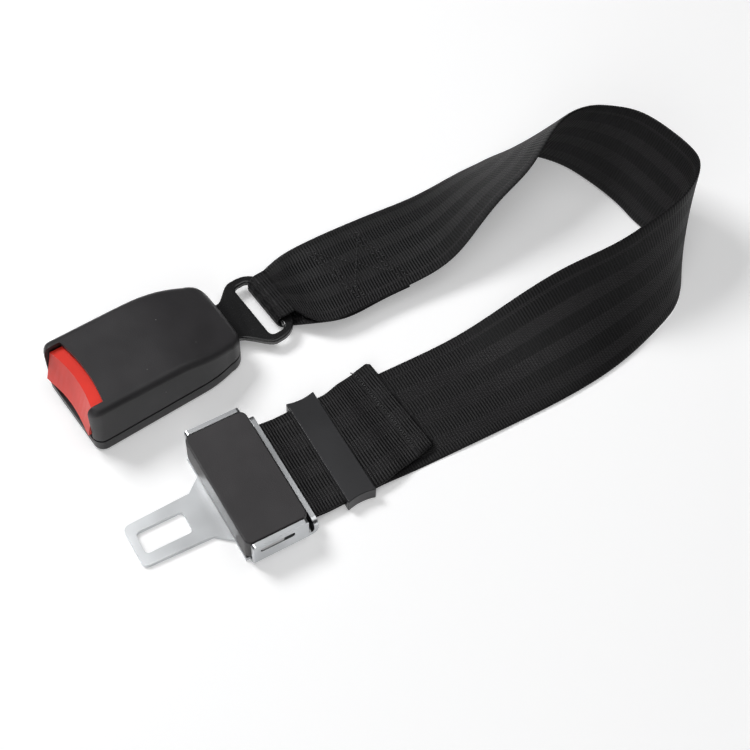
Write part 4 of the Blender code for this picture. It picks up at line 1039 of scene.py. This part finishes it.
    def stitch_line(self, name: str, line: tuple, stitch: Pair, span: Pair) -> Object:
        """Sew a zigzag of stitches along a plan line.

        Args:
            name: the new piece's name.
            line: x and y of the line's points, in millimetres.
            stitch: length of a stitch, and how far its holes are off the line.
            span: lengths along the run between which the cloth is looked for.

        Returns:
            The piece with all stitches of the line.
        """
        line = np.array(line)
        pitch, zigzag = stitch
        knots = length_along(line)
        count = max(3, int(knots[-1] / pitch))
        at = np.linspace(0.0, knots[-1], count)
        holes = np.column_stack([np.interp(at, knots, line[:, 0]), np.interp(at, knots, line[:, 1])])
        ahead = unit(np.gradient(holes, axis=0))
        side = np.column_stack([-ahead[:, 1], ahead[:, 0]])
        holes = holes + side * (zigzag * np.where(np.arange(count) % 2, 1.0, -1.0))[:, None]
        place, out = self.lay_on(holes, *span)
        start, end = place[:-1] * MM, place[1:] * MM
        gap = (end - start) * self.stitch_gap
        start, end = start + gap, end - gap
        lift = (out[:-1] + out[1:]) / 2 * self.thread * self.thread_lift * MM
        return thread_mesh(name, start, end, lift, self.thread * MM)

    def stitches(self) -> list[Object]:
        """Sew the hem's zigzag, and the box of bars and diagonals that closes the eye's loop.

        Returns:
            The pieces of sewing.
        """
        start, end = self.box_reach
        box = (self.eye_along - start, self.eye_along - end)
        pieces = [self.stitch_line("hem_zigzag", HEM_LINE, self.hem_stitch, self.hem_reach)]
        for name, line in BOX_LINES.items():
            stitch = self.bar_stitch if name.startswith("bar") else self.diagonal_stitch
            pieces.append(self.stitch_line(name, line, stitch, box))
        return pieces

    def loose_threads(self) -> list[Object]:
        """Two cut ends of the hem's thread: start plus reach times t plus curl times sin(pi t turns).

        Returns:
            The two pieces.
        """
        t = np.linspace(0.0, 1.0, 14)[:, None]
        pieces = []
        for number, (start, reach, curl, turns) in enumerate(LOOSE_THREADS, 1):
            path = np.array(start) + np.array(reach) * t + np.array(curl) * np.sin(np.pi * t * turns)
            pieces.append(tube_mesh(f"loose_thread_{number}", path * MM, self.thread * MM))
        return pieces

    def build(self, cloth: Material, thread: Material) -> None:
        """Args:
            cloth: finish of the webbing.
            thread: finish of the thread.
        """
        self.route()
        webbing = self.cloth_mesh()
        seat(webbing, Body.STRAP, cloth, "webbing")
        sewing = self.stitches() + self.loose_threads()
        for piece in sewing:
            seat(piece, Body.STRAP, thread)


@dataclass
class TongueEnd:
    """Plated tongue frame with its adjuster cover and lock bar."""

    frame_edge: Rounding = Rounding(0.55 * MM)
    cover_edge: Rounding = Rounding(0.3 * MM, 2)

    def build(self, zinc: Material, shell: Material, steel: Material) -> None:
        """Round the stamped sheet's edges and dress the cover and the bar.

        Args:
            zinc: finish of the tongue.
            shell: finish of the cover.
            steel: finish of the bar.
        """
        self.frame_edge.apply("tongue_frame", "tongue_plated", Body.STRAP, zinc)
        self.cover_edge.apply("adjuster_cover", "adjuster_shell", Body.STRAP, shell)
        dress_node("lock_bar", steel)


@dataclass
class Keeper:
    """Moulded loop that holds the tail on the strap."""

    edge: Rounding = Rounding(0.5 * MM)

    def build(self, satin: Material) -> None:
        """Round the loop's edges and dress it.

        Args:
            satin: its finish.
        """
        self.edge.apply("keeper", "keeper_moulding", Body.SLIDER, satin)


@dataclass
class Buckle:
    """Moulded shells, red button, anchor plate and the steel parts inside.

    The axis is the buckle's own long direction. Each pressed spring is named with the joint that
    presses it and how far that joint moves its front end.
    """

    shell_edge: Rounding = Rounding(0.35 * MM, 2, 40.0)
    plate_edge: Rounding = Rounding(0.4 * MM)
    button_edge: Rounding = Rounding(0.45 * MM)
    coil_angle: float = 60.0
    steel_nodes: tuple[str, ...] = (
        "buckle_frame", "anchor_rivet_front", "anchor_rivet_rear", "latch_plate", "latch_pin", "lock_pin"
    )
    axis: Triple = (0.9948277, 0.1015772, 0.0)
    pressed: tuple[tuple[str, str, float], ...] = (
        ("button_spring_left", "button_slide", 5.0 * MM),
        ("button_spring_right", "button_slide", 5.0 * MM),
        ("ejector_spring", "ejector_slide", 12.0 * MM),
    )

    def pressed_spring(self, node: str, wire: Material) -> None:
        """Copy a spring and put the copy in the spring's place.

        Args:
            node: the spring's node.
            wire: finish of the wire.
        """
        spring = joined_copy(node, f"{node}_coils", self.coil_angle)
        seat(spring, Body.BUCKLE, wire, node)
        places = np.zeros(len(spring.data.vertices) * 3)
        spring.data.vertices.foreach_get("co", places)
        places = places.reshape(-1, 3)
        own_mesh(spring)

    def build(self, finishes: dict[str, Material]) -> None:
        """Dress every piece of the buckle.

        Args:
            finishes: materials by finish name.
        """
        shell, coat = finishes["moulded_shell"], finishes["black_coat"]
        self.shell_edge.apply("upper_housing", "upper_housing_shell", Body.BUCKLE, shell)
        self.shell_edge.apply("lower_housing", "lower_housing_shell", Body.BUCKLE, shell)
        self.button_edge.apply("release_button", "button_moulding", Body.BUTTON, finishes["red_button"])
        self.plate_edge.apply("anchor_plate", "anchor_plate_coated", Body.BUCKLE, coat)
        dress_node("ejector", finishes["pale_moulding"])
        for node in self.steel_nodes:
            dress_node(node, finishes["bare_steel"])
        dress_node("latch_spring", finishes["spring_wire"])
        for node, joint, travel in self.pressed:
            self.pressed_spring(node, finishes["spring_wire"])


MOULDED = {"grain_depth": 0.03, "scuff": 0.05, "specular": 0.28}
SATIN = {"grain": Grain.SATIN, "specular": 0.4}
METAL = {"metallic": 1.0, "dust": 0.0}
STEEL = {"grain": Grain.ROLLED, "gloss_drift": 0.1, **METAL}
ZINC = {"grain": Grain.SATIN, "grain_depth": 0.001, "scuff": 0.06, "gloss_drift": 0.04, **METAL}
THREAD = {"grain_depth": 0.04, "dust": 0.0, "scuff": 0.0, "specular": 0.6}
COAT = {"grain_depth": 0.006, "dust": 0.2, "scuff": 0.12}
SOLID_FINISHES = (
    Solid("moulded_shell", (0.037, 0.0355, 0.0375), 0.4, **MOULDED),
    Solid("adjuster_shell", (0.040, 0.0375, 0.0395), 0.42, dust=0.3, **MOULDED),
    Solid("satin_keeper", (0.030, 0.030, 0.032), 0.3, grain_depth=0.006, dust=0.3, scuff=0.08, **SATIN),
    Solid("red_button", (0.92, 0.036, 0.02), 0.36, grain_depth=0.004, dust=0.02, scuff=0.06, **SATIN),
    Solid("bright_zinc", (0.60, 0.615, 0.63), 0.3, **ZINC),
    Solid("bare_steel", (0.46, 0.46, 0.46), 0.34, grain_depth=0.003, **STEEL),
    Solid("spring_wire", (0.5, 0.49, 0.47), 0.26, grain_depth=0.002, **STEEL),
    Solid("black_coat", (0.011, 0.011, 0.0115), 0.26, coat=0.5, **COAT, **SATIN),
    Solid("pale_moulding", (0.62, 0.62, 0.6), 0.42, grain=Grain.SATIN, grain_depth=0.01, dust=0.0),
    Solid("black_thread", (0.018, 0.018, 0.019), 0.42, **THREAD),
)

# The point that the lamps face
OBJECT_MIDDLE = (0.08, 0.035, 0.0)


@dataclass(frozen=True)
class Lamp:
    """Square soft box that faces the object."""

    name: str
    direction: Triple
    distance: float
    size: float
    power: float

    def build(self) -> None:
        """Hang the lamp so that it faces the middle of the object."""
        data = bpy.data.lights.new(self.name, "AREA")
        data.shape = "SQUARE"
        data.size = self.size
        data.energy = self.power
        lamp = add_object(self.name, data)
        way = Vector(self.direction).normalized()
        lamp.location = Vector(OBJECT_MIDDLE) + way * self.distance
        lamp.rotation_euler = way.to_track_quat("Z", "Y").to_euler()


@dataclass
class Studio:
    """Pale floor, soft light and the camera.

    The room's light is even, and where the camera or a reflection sees it, it grows from low to
    high with the height.
    """

    lens: float = 77.57
    camera_place: Triple = (-0.12168, -0.28781, 0.57246)
    pitch: float = math.radians(57.24)
    heading: float = math.radians(32.0)
    roll: float = math.radians(2.45)
    floor_half: float = 4.0
    floor_lit: tuple[float, ...] = (0.7, 0.7, 0.7, 1.0)
    floor_seen: tuple[float, ...] = (0.92, 0.92, 0.925, 1.0)
    floor_glow: float = 0.27
    room_light: float = 0.4
    room_low: float = 0.35
    room_rise: float = 0.55
    room_height: float = 0.75
    lamps: tuple[Lamp, ...] = (
        Lamp("key_light", (-0.5, 0.85, 1.25), 1.3, 0.45, 9.5),
        Lamp("top_light", (0.15, -0.1, 1.0), 1.5, 1.3, 7.0),
        Lamp("front_light", (-0.8, -0.8, 0.7), 1.5, 0.9, 4.5),
    )

    def camera(self) -> None:
        """Set the camera: it looks down along the strap, turned a little about its own axis."""
        flat = Vector((math.sin(self.heading), math.cos(self.heading), 0.0))
        forward = flat * math.cos(self.pitch) - Vector((0, 0, math.sin(self.pitch)))
        right = Vector((math.cos(self.heading), -math.sin(self.heading), 0.0))
        up = right.cross(forward)
        x_axis = right * math.cos(self.roll) + up * math.sin(self.roll)
        y_axis = up * math.cos(self.roll) - right * math.sin(self.roll)
        data = bpy.data.cameras.new("camera")
        data.lens = self.lens
        data.clip_start, data.clip_end = 0.01, 50.0
        camera = add_object("camera", data)
        turn = Matrix((x_axis, y_axis, -forward)).transposed()
        camera.matrix_world = Matrix.Translation(self.camera_place) @ turn.to_4x4()
        bpy.context.scene.camera = camera

    def seen_directly(self, sheet: Sheet) -> NodeSocket:
        """Mask of the rays that show the background: camera, glossy and transmission rays.

        Args:
            sheet: the tree that the mask is for.

        Returns:
            The mask's socket.
        """
        path = sheet.add("ShaderNodeLightPath")
        first = sheet.maths("MAXIMUM", path.outputs["Is Camera Ray"], path.outputs["Is Glossy Ray"])
        return sheet.maths("MAXIMUM", first, path.outputs["Is Transmission Ray"])

    def floor(self) -> None:
        """Lay the pale floor, white where the camera sees it lit, with the object's shadow on it."""
        corners = np.array([(-1.0, -1.0, 0.0), (1.0, -1.0, 0.0), (1.0, 1.0, 0.0), (-1.0, 1.0, 0.0)])
        floor = mesh_object("floor", corners * self.floor_half, [[0, 1, 2, 3]])
        material, sheet, shader = new_material("pale_floor")
        sheet.tree.nodes.remove(shader)
        plain = sheet.add("ShaderNodeBsdfDiffuse", {"Color": self.floor_lit})
        white = sheet.add("ShaderNodeBsdfDiffuse", {"Color": self.floor_seen})
        light = {"Color": (1.0, 1.0, 1.0, 1.0), "Strength": self.floor_glow}
        glow = sheet.add("ShaderNodeEmission", light)
        shown = sheet.add("ShaderNodeAddShader", {0: white.outputs[0], 1: glow.outputs[0]})
        mixed = sheet.add(
            "ShaderNodeMixShader",
            {0: self.seen_directly(sheet), 1: plain.outputs[0], 2: shown.outputs[0]},
        )
        sheet.fill(sheet.tree.nodes["Material Output"], {0: mixed.outputs[0]})
        floor.data.materials.append(material)

    def world(self) -> None:
        """Fill the room with even light, and show it a little darker low down in reflections."""
        world = bpy.data.worlds.new("room")
        bpy.context.scene.world = world
        world.use_nodes = True
        sheet = Sheet(world.node_tree)
        shader = sheet.tree.nodes["Background"]
        place = sheet.add("ShaderNodeTexCoord").outputs["Generated"]
        height = sheet.add("ShaderNodeSeparateXYZ", {"Vector": place}).outputs[2]
        high = sheet.ramp(height, 0.0, self.room_height)
        shown = sheet.maths("MULTIPLY_ADD", high, self.room_rise, self.room_low)
        mixed = {0: self.seen_directly(sheet), 2: self.room_light, 3: shown}
        sheet.fill(shader, {"Strength": sheet.add("ShaderNodeMix", mixed).outputs[0]})

    def build(self) -> None:
        """Make the camera, the floor, the room and the lamps."""
        self.camera()
        self.floor()
        self.world()
        for lamp in self.lamps:
            lamp.build()
        bpy.context.scene.view_settings.view_transform = "Standard"


def main() -> None:
    """Build the studio and dress the extender, sub-assembly by sub-assembly."""
    logging.basicConfig(level=logging.INFO, format="%(message)s")
    Studio().build()
    effects = Effects()
    finishes = {finish.name: finish.make(effects) for finish in SOLID_FINISHES}
    Strap().build(Cloth().make(effects), finishes["black_thread"])
    TongueEnd().build(finishes["bright_zinc"], finishes["adjuster_shell"], finishes["bare_steel"])
    Keeper().build(finishes["satin_keeper"])
    Buckle().build(finishes)


if __name__ == "__main__":
    main()
